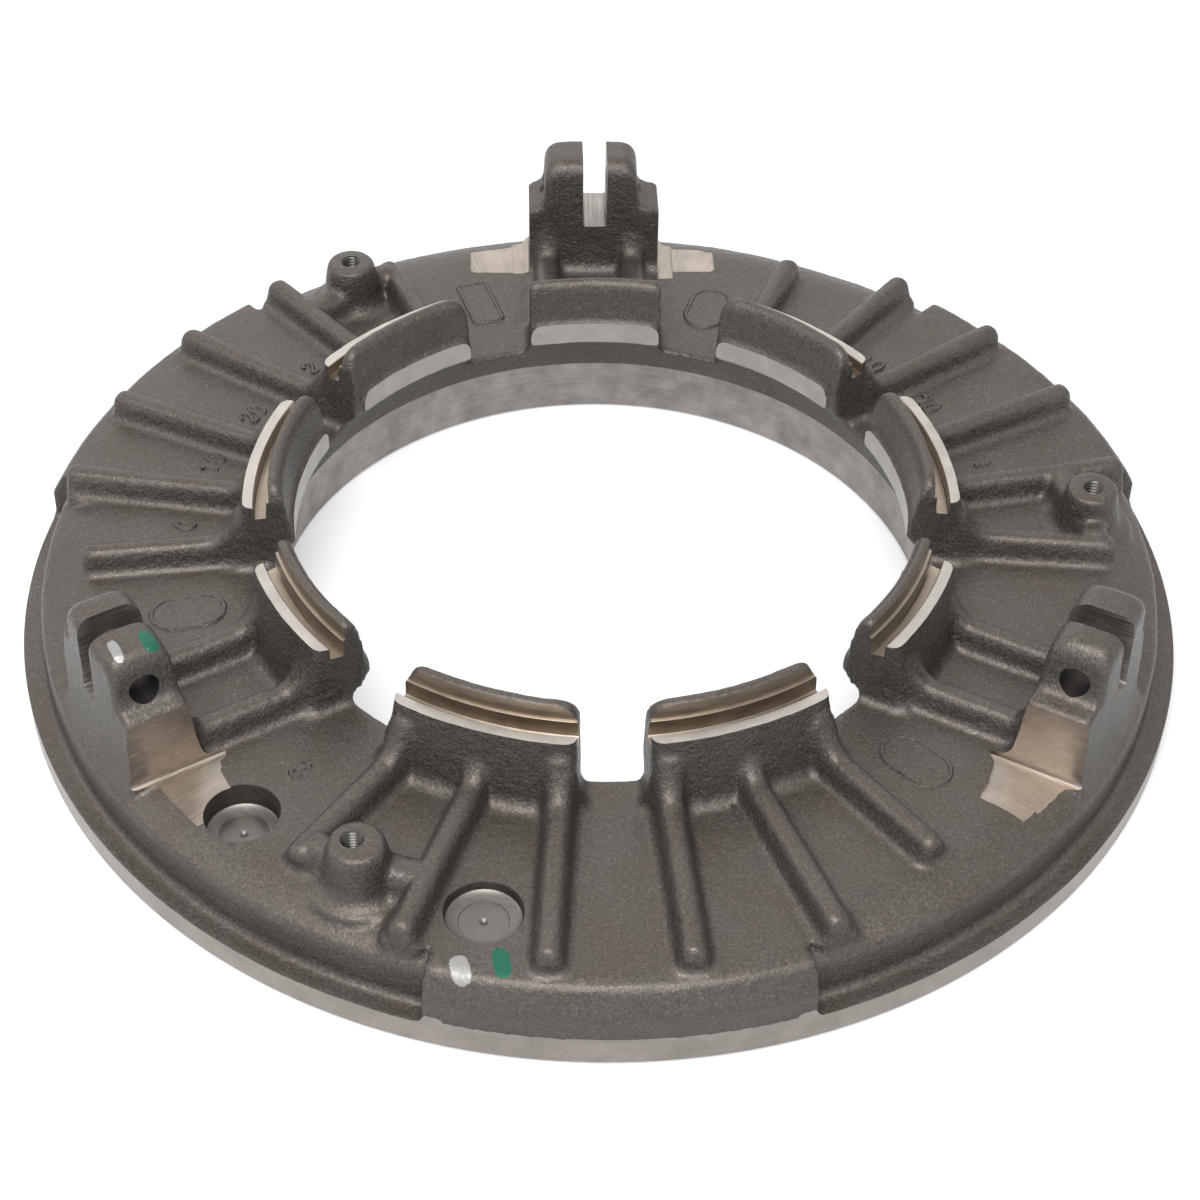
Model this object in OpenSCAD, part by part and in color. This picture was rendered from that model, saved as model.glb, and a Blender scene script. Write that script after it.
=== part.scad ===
// Clutch pressure plate: one grey iron casting, turned on the friction side, the rim, the pilot
// bore and the spring seats. The casting is drawn in the regions that a pattern maker would name,
// and they meet face to face. The origin is the centre of the friction face, +Z points away from
// it, and the lever lugs stand at 90, 210 and 330 degrees from +X.

/* [Ring] */
// Outside diameter of the turned rim
rim_d = 320; // [316:0.5:330]
// Diameter of the turned pilot bore
bore_d = 183; // [178:0.5:185]
// Height of the turned pilot bore above the friction face
bore_h = 17.5; // [12:0.5:20]
// Thickness of the ring, from the friction face to the cast floor
floor_z = 24; // [22:0.5:28]
// Height of the bright turned band on the rim
band_h = 8; // [6:0.5:11]
// Width of the ledge that lies outside the cast wall
ledge_w = 5; // [4:0.5:7]
// Radius on the upper edge of the cast wall
edge_round = 3; // [2:0.25:3.5]
// Fillet between the cast wall and the ledge
ledge_fillet = 1.5; // [0.5:0.25:2.5]
// Chamfer on both corners of the friction face
face_chamfer = 0.8; // [0.4:0.1:1.5]
// Inward lean of the cast wall between the turned bore and the floor
bore_lean = 1.6; // [0.8:0.1:2]

/* [Rim pads] */
// Half angle of each full-width pad of the rim, in degrees
pad_half_angle = 17.2; // [12:0.1:20]
// Height that the sloping edge of a pad drops from the floor to the rim
pad_drop = 6.8; // [5:0.2:9]

/* [Spring seats] */
// Width of a seat block across its flat land
seat_w = 48.6; // [46:0.2:51]
// Width of the locating lip above the land
lip_w = 40; // [37:0.5:43]
// Width of the narrower seat blocks inside the lever lugs
lug_seat_w = 40.6; // [39:0.2:43]
// Height of the bright land above the friction face
land_z = 43.7; // [41:0.1:47]
// Radial width of the land
land_w = 2.5; // [2:0.1:3.5]
// Radial width of the groove between the land and the lip
groove_w = 3.5; // [2.5:0.1:4]
// Depth of the groove below the land
groove_depth = 3.7; // [2.5:0.1:4.5]
// Height of the lip above the land
lip_rise = 5; // [3.5:0.1:6]
// Height of the bright shoulder on the lip, above the land
shoulder_rise = 1.4; // [0.5:0.1:2]
// Radial width of the lip at its root
lip_t = 4.3; // [4:0.1:5]
// Height of the turned patch on the inner face, above the floor
patch_h = 9.7; // [7:0.1:12]
// Fillet radius where the lip ends round over
lip_round = 4; // [2.5:0.25:4.5]
// Draft of the end faces of a seat block, in degrees
seat_draft = 3; // [1:0.5:4]

/* [Ribs] */
// Height of the ribs above the floor
rib_h = 7; // [5:0.25:9]
// Width of a rib at its top
rib_top_w = 6; // [5:0.25:7]
// Width of a rib at its foot, with both fillets
rib_foot_w = 11; // [10:0.25:12]
// Height of the rib root above the rib, where it climbs the seat block
rib_climb = 7.5; // [3:0.5:8]
// Length of the concave climb
climb_run = 8; // [4:0.5:10]
// Length of the slope on the outer end of a rib
rib_slope = 4; // [3:0.25:6]
// Distance of the outer rib roots from the ends of the land
rib_inset = 3.3; // [2.5:0.1:5]
// Angle at which the outer ribs spread from the centre rib, in degrees
rib_spread = 16; // [12:0.5:18]
// Distance of the ribs on the rim pads from the edge of the floor
rib_margin = 1; // [0.5:0.1:3]
// Distance of the outer ends of the short ribs from the rim
short_rib_inset = 18; // [14:0.5:22]

/* [Lever lugs] */
// Distance of the lever pin from the rim
pin_inset = 19.2; // [18.5:0.1:20]
// Height of the lever pin above the friction face
pin_z = 50.5; // [49.5:0.1:52]
// Diameter of the lever pin bore
pin_d = 8; // [6:0.1:10]
// Height of the ears above the friction face
ear_z = 61; // [59:0.5:65]
// Width of the lever slot
slot_w = 7.4; // [6:0.1:8.5]
// Height of the slot floor above the friction face
slot_z = 39; // [36:0.5:42]
// Thickness of the ear on the anticlockwise side
ear_a_t = 11.7; // [10:0.1:13]
// Thickness of the ear on the clockwise side
ear_b_t = 9.3; // [8:0.1:11]
// Offset of the slot centre from the radial line through the seat
slot_offset = 1.9; // [1:0.1:2.5]
// Width of the lug between its machined flanks
flank_w = 40.8; // [38:0.2:44]
// Height of the shoulders above the friction face
shoulder_z = 45.5; // [44:0.25:46]
// Radial length of the ears at their top
ear_len = 13.5; // [12.5:0.1:14.5]
// Radial length of the lug at its foot
lug_len = 20.4; // [19:0.1:21]
// Radius on the upper inner and outer corners of the ears
ear_round = 4; // [2:0.25:5]
// Radius on the upper side corners of the ears
ear_side_round = 3.5; // [1:0.25:4.5]
// Depth of the spot faces beside the lug, below the floor
spot_depth = 0.7; // [0.3:0.1:1.5]
// Length of the spot faces beside the lug
spot_len = 18.5; // [14:0.5:20]

/* [Tapped bosses] */
// Distance of the tapped holes from the rim
boss_inset = 23.1; // [21:0.1:25]
// Gap between the cone of a boss and the top of the rib beside it
boss_gap = 2.15; // [1:0.05:3.5]
// Height of the bosses above the friction face
boss_z = 37.7; // [35.5:0.1:42]
// Diameter of a boss at its top
boss_top_d = 13.8; // [12:0.1:15]
// Diameter of a boss at its foot
boss_foot_d = 16.6; // [15:0.1:17.5]
// Radial width and height of the flare at the foot of a boss
boss_flare = 2.4; // [1:0.1:3]
// Diameter of the tapping hole
tap_d = 5; // [4:0.1:6.5]
// Depth of the tapping hole
tap_depth = 12; // [6:0.5:13]

/* [Balance holes] */
// Diameter of the balance holes
balance_d = 19; // [12:0.5:20]
// Distance of the balance holes from the rim
balance_inset = 24; // [21:0.5:28]
// Depth of the deep balance hole
deep_balance = 8; // [4:0.5:12]
// Depth of the shallow balance hole
shallow_balance = 3.5; // [1:0.5:6]

/* [Raised marks] */
// Length of the oval pads beside the lugs, along the radius
oval_l = 20.5; // [16:0.5:22]
// Width of the oval pads
oval_w = 12.5; // [9:0.5:14]
// Length of the plate beside the first lug, along the radius
plate_l = 21; // [16:0.5:22]
// Width of the plate
plate_w = 9.5; // [7:0.5:12]
// Height of the oval pads and the plate above the floor
mark_h = 0.5; // [0.3:0.1:1]

/* [Hidden] */
$fn = 144;

// Three lugs share the circle with nine seats, so one seat in three has a lug outside it
lug_count = 3;
seat_count = 3 * lug_count;
seat_pitch = 360 / seat_count;
first_seat_angle = 10;
arc_steps = 4;
foot_steps = 2;

clear = 1;

rim_r = rim_d / 2;
bore_r = bore_d / 2;
wall_r = rim_r - ledge_w;
floor_in_r = bore_r - bore_lean;

// The seat is worked out from the bore outwards
lip_step = 0.5;
lip_out_r = bore_r - lip_step;
lip_in_r = lip_out_r - lip_t;
lip_shoulder = 0.8;
lip_root_in = 1.2;
lip_edge = 0.5;
lip_top_round = 1.6;
land_in_r = lip_out_r + groove_w;
land_out_r = land_in_r + land_w;
land_round = 0.8;
groove_z = land_z - groove_depth;
shoulder_top_z = land_z + shoulder_rise;
lip_z = land_z + lip_rise;
patch_step = 0.6;
patch_r = floor_in_r - patch_step;
patch_z = floor_z + patch_h;
wall_draft = 1.3;
seat_fillet = 3;
seat_overrun = 10;

rib_z = floor_z + rib_h;
rib_lean = 0.7;
rib_crown = 0.2;
rib_fillet = (rib_foot_w - rib_top_w) / 2 - rib_lean;
rib_root = land_w - 0.3;
rib_offset = seat_w / 2 - rib_inset;
short_rib_r = rim_r - short_rib_inset;
lug_rib_offsets = [12.9, -13.5];

pin_x = rim_r - pin_inset;
ear_a_y = -slot_offset + slot_w / 2 + ear_a_t;
ear_b_y = -slot_offset - slot_w / 2 - ear_b_t;
slot_a_y = -slot_offset + slot_w / 2;
slot_b_y = -slot_offset - slot_w / 2;
flank_a_y = -slot_offset + flank_w / 2;
flank_b_y = -slot_offset - flank_w / 2;
shoulder_fillet = 1.5;
shoulder_round = 1.2;
ear_shift = 0.4;
ear_in_x = pin_x - ear_len / 2 + ear_shift;
ear_out_x = ear_in_x + ear_len;
outer_lean = 1.4;
lug_out_x = ear_out_x + outer_lean;
lug_in_x = lug_out_x - lug_len;
lug_step_z = slot_z - 1;
lug_step_h = 3.5;
lug_step_x = 1.1;
ear_lean = 0.7;
lug_overrun = 5;
spot_in = 0.6;
spot_out = 2.5;

boss_r = rim_r - boss_inset;
web_h = 8.5;
web_rise = 2;
web_sink = 1;
balance_r = rim_r - balance_inset;
deep_balance_angle = 227.2;
shallow_balance_angle = 256.4;

mark_gap = 18;
mark_r = land_out_r + mark_gap;
oval_angle = 17;
plate_angle = 16.8;

function polar(r, a) = [r * cos(a), r * sin(a)];
function arc(centre, r, from, to, steps = arc_steps) =
    [for (i = [0:steps]) centre + polar(r, from + (to - from) * i / steps)];
function seat_angle(i) = first_seat_angle + (i - 1) * seat_pitch;
function lug_angle(i) = seat_angle(3 * i);
function boss_seat(i) = 3 * i - 2;
function has_lug(i) = i % 3 == 0;
function pad_side(i) = i % 3 == 1 ? 1 : -1;
// Distance along a line from point p in direction d to the circle of radius r
function reach(p, d, r) = -p * d + sqrt(pow(p * d, 2) - p * p + r * r);

// A boss stands beside the outer rib on the clockwise side of its seat
rib_heading = polar(1, -rib_spread);
boss_distance = boss_foot_d / 2 + boss_gap + rib_top_w / 2;
boss_line = [land_out_r, -rib_offset] + boss_distance * polar(1, 90 - rib_spread);
boss_at = boss_line + reach(boss_line, rib_heading, boss_r) * rib_heading;

// Extrudes a profile drawn in (along, up) across the local Y axis
module across(width) {
    translate([0, width / 2, 0])
        rotate([90, 0, 0])
            linear_extrude(width)
                children();
}

// Extrudes a profile drawn in (sideways, up) along the local X axis
module along(from, to) {
    translate([from, 0, 0])
        rotate([90, 0, 90])
            linear_extrude(to - from)
                children();
}

// Full disc with the sloping rim edge of the pads all the way round
module ring_disc() {
    rotate_extrude()
        polygon([
            [bore_r + face_chamfer, 0], [rim_r - face_chamfer, 0], [rim_r, face_chamfer],
            [rim_r, floor_z - pad_drop], [wall_r, floor_z], [floor_in_r, floor_z],
            [bore_r, bore_h], [bore_r, face_chamfer]
        ]);
}

// The stretches between the pads, where the rim steps down to a ledge
module ledge_cuts() {
    for (i = [0:lug_count - 1])
        rotate([0, 0, lug_angle(i) - 60 + pad_half_angle])
            rotate_extrude(angle = 360 / lug_count - 2 * pad_half_angle)
                polygon(concat(
                    [[rim_r + clear, band_h]],
                    arc([wall_r + ledge_fillet, band_h + ledge_fillet], ledge_fillet, 270, 180),
                    arc([wall_r - edge_round, floor_z - edge_round], edge_round, 0, 90),
                    [[wall_r - edge_round, floor_z + clear], [rim_r + clear, floor_z + clear]]
                ));
}

module ring_blank() {
    difference() {
        ring_disc();
        ledge_cuts();
    }
}

module balance_hole(angle, depth) {
    rotate([0, 0, angle])
        translate([balance_r, 0, floor_z - depth])
            cylinder(d = balance_d, h = depth + clear);
}

module spot_faces() {
    for (i = [1:lug_count])
        rotate([0, 0, lug_angle(i)])
            for (start = [flank_a_y, flank_b_y - spot_len])
                translate([lug_in_x - spot_in, start, floor_z - spot_depth])
                    cube([lug_len + spot_in - spot_out, spot_len, spot_depth + clear]);
}

// Pad with round ends, its length along local X
module oval_pad() {
    middle = (oval_l - oval_w) / 2;
    linear_extrude(mark_h + clear)
        union() {
            square([2 * middle, oval_w], center = true);
            for (x = [-middle, middle])
                translate([x, 0])
                    circle(d = oval_w);
        }
}

module raised_marks() {
    for (i = [1:lug_count])
        rotate([0, 0, lug_angle(i) - oval_angle])
            translate([mark_r, 0, floor_z - clear])
                oval_pad();
    rotate([0, 0, lug_angle(1) + plate_angle])
        translate([mark_r - plate_l / 2, -plate_w / 2, floor_z - clear])
            cube([plate_l, plate_w, mark_h + clear]);
}

module friction_ring() {
    color("#6b645e")
        difference() {
            union() {
                ring_blank();
                raised_marks();
            }
            spot_faces();
            balance_hole(deep_balance_angle, deep_balance);
            balance_hole(shallow_balance_angle, shallow_balance);
        }
}

// Section of the seat block below the lip, in (radius, height)
module seat_section() {
    foot_r = land_out_r + wall_draft;
    polygon(concat(
        [[patch_r, floor_z]],
        arc([foot_r + seat_fillet, floor_z + seat_fillet], seat_fillet, 270, 180, foot_steps),
        [[land_out_r, land_z], [land_in_r, land_z], [land_in_r, groove_z],
            [lip_in_r + lip_root_in, groove_z], [patch_r, patch_z]]
    ));
}

// Section of the turned and cast lip above the groove
module lip_section() {
    turned_r = lip_out_r - lip_shoulder;
    polygon(concat(
        [[lip_in_r + lip_root_in, groove_z], [lip_out_r, groove_z], [lip_out_r, shoulder_top_z],
            [turned_r, shoulder_top_z], [turned_r, lip_z - lip_edge],
            [turned_r - lip_edge, lip_z]],
        arc([lip_in_r + lip_top_round, lip_z - lip_top_round], lip_top_round, 90, 180)
    ));
}

// Outline of a block seen along its radius, with drafted sides and round upper corners
module block_outline(top_w, top, round_r) {
    drift = (top - floor_z) * tan(seat_draft);
    polygon(concat(
        [[-top_w / 2 - drift, floor_z], [top_w / 2 + drift, floor_z]],
        arc([top_w / 2 - round_r, top - round_r], round_r, 0, 90),
        arc([-top_w / 2 + round_r, top - round_r], round_r, 90, 180)
    ));
}

module seat_sector() {
    half_angle = 24;
    rotate([0, 0, -half_angle])
        rotate_extrude(angle = 2 * half_angle)
            children();
}

module seat_block(lug) {
    body_w = lug ? lug_seat_w : seat_w;
    top_w = lug ? lug_seat_w : lip_w;
    from = lip_in_r - seat_overrun;
    to = land_out_r + seat_overrun;
    union() {
        intersection() {
            seat_sector() seat_section();
            along(from, to) block_outline(body_w, land_z, land_round);
        }
        intersection() {
            seat_sector() lip_section();
            along(from, to) block_outline(top_w, lip_z, lip_round);
        }
    }
}

module spring_seat(i) {
    color("#78706a")
        rotate([0, 0, seat_angle(i)])
            seat_block(has_lug(i));
}

// Cross-section of a rib: drafted sides on concave feet
module rib_section(height) {
    foot = rib_foot_w / 2;
    half_top = rib_top_w / 2;
    top = floor_z + height;
    polygon(concat(
        arc([foot, floor_z + rib_fillet], rib_fillet, 270, 180),
        [[half_top, rib_z], [half_top - rib_crown, top], [-half_top + rib_crown, top],
            [-half_top, rib_z]],
        arc([-foot, floor_z + rib_fillet], rib_fillet, 0, -90)
    ));
}

// A rib along local X from its root, where it climbs the seat, to its sloping outer end
module rib(length, slope) {
    intersection() {
        along(-rib_root, length) rib_section(rib_h + rib_climb + clear);
        across(rib_foot_w + clear)
            polygon(concat(
                [[-rib_root, floor_z], [-rib_root, rib_z + rib_climb]],
                [for (s = [0:arc_steps])
                    [climb_run * s / arc_steps, rib_z + rib_climb * pow(1 - s / arc_steps, 2)]],
                [[length - slope, rib_z], [length, floor_z]]
            ));
    }
}

// The ribs of one seat in the seat's own frame, before what they meet is cut away
module rib_fan(pad) {
    root_x = land_out_r;
    translate([root_x, 0, 0])
        rib(wall_r - edge_round - root_x, rib_slope);
    for (side = [-1, 1]) {
        start = [root_x, side * rib_offset];
        heading = polar(1, side * rib_spread);
        end_r = side == pad ? wall_r - rib_margin : short_rib_r;
        translate([root_x, side * rib_offset, 0])
            rotate([0, 0, side * rib_spread])
                rib(reach(start, heading, end_r), rib_slope);
    }
}

// The pair of straight ribs that tie a lug to its seat
module lug_ribs() {
    for (y = lug_rib_offsets)
        translate([land_out_r, y, 0])
            rib(lug_in_x + rib_root - land_out_r, 0);
}

module seat_ribs(i) {
    color("#5d5650")
        rotate([0, 0, seat_angle(i)])
            difference() {
                if (has_lug(i))
                    lug_ribs();
                else
                    rib_fan(pad_side(i));
                seat_block(has_lug(i));
                if (has_lug(i))
                    lug_body();
            }
}

// Outline of a lug seen along its radius: machined flanks, shoulders and the two ears
module lug_front() {
    f = shoulder_fillet;
    r = shoulder_round;
    e = ear_side_round;
    polygon(concat(
        [[flank_b_y, floor_z], [flank_a_y, floor_z]],
        arc([flank_a_y - r, shoulder_z - r], r, 0, 90),
        arc([ear_a_y + f, shoulder_z + f], f, 270, 180),
        arc([ear_a_y - e, ear_z - e], e, 0, 90),
        [[slot_a_y, ear_z], [slot_a_y, slot_z], [slot_b_y, slot_z], [slot_b_y, ear_z]],
        arc([ear_b_y + e, ear_z - e], e, 90, 180),
        arc([ear_b_y - f, shoulder_z + f], f, 0, -90),
        arc([flank_b_y + r, shoulder_z - r], r, 90, 180)
    ));
}

// Outline of a lug seen along the lever pin
module lug_side() {
    polygon(concat(
        [[lug_in_x, floor_z], [lug_out_x, floor_z], [ear_out_x, ear_z - ear_round]],
        arc([ear_out_x - ear_round, ear_z - ear_round], ear_round, 0, 90),
        arc([ear_in_x + ear_round, ear_z - ear_round], ear_round, 90, 180),
        [[ear_in_x - ear_lean, lug_step_z], [lug_in_x + lug_step_x, lug_step_z - lug_step_h]]
    ));
}

module lug_body() {
    intersection() {
        along(lug_in_x - lug_overrun, lug_out_x + lug_overrun) lug_front();
        across(flank_w + 2 * slot_offset + clear) lug_side();
    }
}

module lever_lug(i) {
    color("#6f6862")
        rotate([0, 0, lug_angle(i)])
            difference() {
                lug_body();
                translate([pin_x, flank_a_y, pin_z])
                    rotate([90, 0, 0])
                        cylinder(d = pin_d, h = flank_w);
            }
}

// Boss cone on its flared foot, with its two webs, in the frame of its seat
module boss_body() {
    translate([boss_at.x, boss_at.y, floor_z]) {
        cylinder(d1 = boss_foot_d, d2 = boss_top_d, h = boss_z - floor_z);
        cylinder(d1 = boss_foot_d + 2 * boss_flare, d2 = boss_foot_d - clear, h = boss_flare);
    }
    boss_web(90, -boss_at.y);
    boss_web(-90 - rib_spread, boss_distance);
}

module boss_web(heading, length) {
    translate([boss_at.x, boss_at.y, 0])
        rotate([0, 0, heading])
            across(rib_top_w)
                polygon([
                    [0, floor_z], [0, floor_z + web_h + web_rise],
                    [length, rib_z - web_sink], [length, floor_z]
                ]);
}

module tapped_boss(i) {
    color("#77706a")
        rotate([0, 0, seat_angle(boss_seat(i))])
            difference() {
                boss_body();
                translate([boss_at.x, boss_at.y, boss_z - tap_depth])
                    cylinder(d = tap_d, h = tap_depth + clear);
                rib_fan(pad_side(boss_seat(i)));
            }
}

friction_ring();
spring_seat(1);  // spring_seat_1
spring_seat(2);  // spring_seat_2
spring_seat(3);  // spring_seat_3
spring_seat(4);  // spring_seat_4
spring_seat(5);  // spring_seat_5
spring_seat(6);  // spring_seat_6
spring_seat(7);  // spring_seat_7
spring_seat(8);  // spring_seat_8
spring_seat(9);  // spring_seat_9
seat_ribs(1);  // seat_ribs_1
seat_ribs(2);  // seat_ribs_2
seat_ribs(3);  // seat_ribs_3
seat_ribs(4);  // seat_ribs_4
seat_ribs(5);  // seat_ribs_5
seat_ribs(6);  // seat_ribs_6
seat_ribs(7);  // seat_ribs_7
seat_ribs(8);  // seat_ribs_8
seat_ribs(9);  // seat_ribs_9
lever_lug(1);  // lever_lug_1
lever_lug(2);  // lever_lug_2
lever_lug(3);  // lever_lug_3
tapped_boss(1);  // tapped_boss_1
tapped_boss(2);  // tapped_boss_2
tapped_boss(3);  // tapped_boss_3
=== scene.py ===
"""Looks of a clutch pressure plate: one iron casting, smoothed as cast and then machined.

The casting is poured first as a stock of closed forms, skinned into one surface with the soft
corners of a sand mould, and then turned, milled, drilled and tapped. At the end the finished
casting is parted into the regions of the frame, so that each region is a piece of its own.
"""

import enum
import logging
import math
from collections.abc import Iterable, Sequence
from dataclasses import dataclass, field

import bmesh
import bpy
import numpy as np
from mathutils import Matrix, Vector


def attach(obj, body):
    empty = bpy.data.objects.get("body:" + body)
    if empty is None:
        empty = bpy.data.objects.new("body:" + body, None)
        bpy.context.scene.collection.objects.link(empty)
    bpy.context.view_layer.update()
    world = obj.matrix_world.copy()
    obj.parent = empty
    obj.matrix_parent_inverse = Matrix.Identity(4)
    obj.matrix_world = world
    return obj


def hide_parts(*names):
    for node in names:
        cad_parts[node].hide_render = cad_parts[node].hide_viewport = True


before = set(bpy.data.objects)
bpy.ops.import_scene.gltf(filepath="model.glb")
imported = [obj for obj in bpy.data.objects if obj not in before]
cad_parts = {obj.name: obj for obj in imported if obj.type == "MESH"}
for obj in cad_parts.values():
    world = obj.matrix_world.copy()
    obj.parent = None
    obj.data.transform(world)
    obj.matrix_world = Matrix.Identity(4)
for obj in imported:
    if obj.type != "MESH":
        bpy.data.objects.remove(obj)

LOG = logging.getLogger("pressure_plate")
MM = 0.001
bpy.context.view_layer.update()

Point2 = tuple[float, float]
Point3 = tuple[float, float, float]
Outline = list[Point2]
Rings = Sequence[Sequence[Sequence[float]]]
Colour = tuple[float, float, float]
Socket = bpy.types.NodeSocket


class Lay(enum.Enum):
    """The direction in which a tool left its marks."""

    ROUND = "round"
    RADIAL = "radial"


class Skin(enum.Enum):
    """The finishes of the casting, in the order of the material slots."""

    CAST = 0
    RIM = 1
    LAND = 2
    BORE = 3
    PATCH = 4
    MILLED = 5
    SLOT = 6
    DRILLED = 7
    THREAD = 8
    GROOVE = 9
    PIN_BORE = 10


def arc(centre: Point2, radius: float, start: float, end: float, steps: int = 6) -> Outline:
    """Points on an arc.

    Args:
        centre: Centre of the arc.
        radius: Radius of the arc.
        start: First angle, in degrees.
        end: Last angle, in degrees.
        steps: Number of chords.

    Returns:
        The points from start to end, both ends included.
    """
    angles = [math.radians(start + (end - start) * i / steps) for i in range(steps + 1)]
    return [(centre[0] + radius * math.cos(a), centre[1] + radius * math.sin(a)) for a in angles]


@dataclass
class Solid:
    """A closed form in millimetres: its corners, its faces and the skin of each face."""

    points: np.ndarray
    faces: list[tuple[int, ...]]
    skin: Skin = Skin.CAST

    def turned(self, angle: float) -> "Solid":
        """The same form turned about the plate's axis.

        Args:
            angle: Angle of the turn, in degrees.

        Returns:
            The turned form.
        """
        c, s = math.cos(math.radians(angle)), math.sin(math.radians(angle))
        turn = np.array([[c, -s, 0], [s, c, 0], [0, 0, 1]])
        return Solid(np.asarray(self.points, float) @ turn.T, self.faces, self.skin)

    def moved(self, x: float, y: float) -> "Solid":
        """The same form moved in plan, in millimetres."""
        return Solid(self.points + np.array([x, y, 0.0]), self.faces, self.skin)


def loft(rings: Rings, skin: Skin = Skin.CAST, closed: bool = False) -> Solid:
    """A closed form through rings of equal length.

    Args:
        rings: The rings, each a list of points in millimetres.
        skin: The finish of its faces.
        closed: Whether the last ring meets the first, and no flat caps close the ends.

    Returns:
        The closed form.
    """
    count = len(rings[0])
    points = np.array([p for ring in rings for p in ring], float)
    faces: list[tuple[int, ...]] = [] if closed else [tuple(range(count))[::-1]]
    for k in range(len(rings) if closed else len(rings) - 1):
        n = (k + 1) % len(rings)
        for i in range(count):
            j = (i + 1) % count
            faces.append((k * count + i, k * count + j, n * count + j, n * count + i))
    if not closed:
        last = (len(rings) - 1) * count
        faces.append(tuple(range(last, last + count)))
    return Solid(points, faces, skin)


def turned_form(profile: Outline, steps: int, skin: Skin = Skin.CAST) -> Solid:
    """A profile turned round an upright axis of its own, with a flat cap at each end.

    Args:
        profile: The profile from its foot upwards, as pairs of radius and height.
        steps: Number of steps round.
        skin: The finish of its faces.

    Returns:
        The closed form, with its axis on the plate's axis.
    """
    angles = [2 * math.pi * k / steps for k in range(steps)]
    return loft([[(r * math.cos(a), r * math.sin(a), z) for a in angles] for r, z in profile],
                skin)


def revolve(profile: Outline, start: float = 0.0, sweep: float = 360.0, steps: int = 360,
            skin: Skin = Skin.CAST) -> Solid:
    """A profile of radius and height carried round the plate's axis.

    Args:
        profile: The closed profile, as pairs of radius and height.
        start: First angle, in degrees.
        sweep: Angle that the profile covers, in degrees.
        steps: Number of steps round.
        skin: The finish of its faces.

    Returns:
        The closed form, a full ring or a sector with flat ends.
    """
    whole = sweep >= 360.0
    stations = steps if whole else steps + 1
    rings = []
    for k in range(stations):
        a = math.radians(start + sweep * k / steps)
        rings.append([(r * math.cos(a), r * math.sin(a), z) for r, z in profile])
    return loft(rings, skin, closed=whole)


def upright(outline: Outline, low: float, high: float, skin: Skin = Skin.CAST) -> Solid:
    """An outline in plan, carried upwards from one height to another."""
    return loft([[(x, y, z) for x, y in outline] for z in (low, high)], skin)


def along_x(outline: Outline, low: float, high: float, skin: Skin = Skin.CAST) -> Solid:
    """An outline of side and height, carried along the radius from low to high."""
    return loft([[(x, y, z) for y, z in outline] for x in (low, high)], skin)


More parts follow.
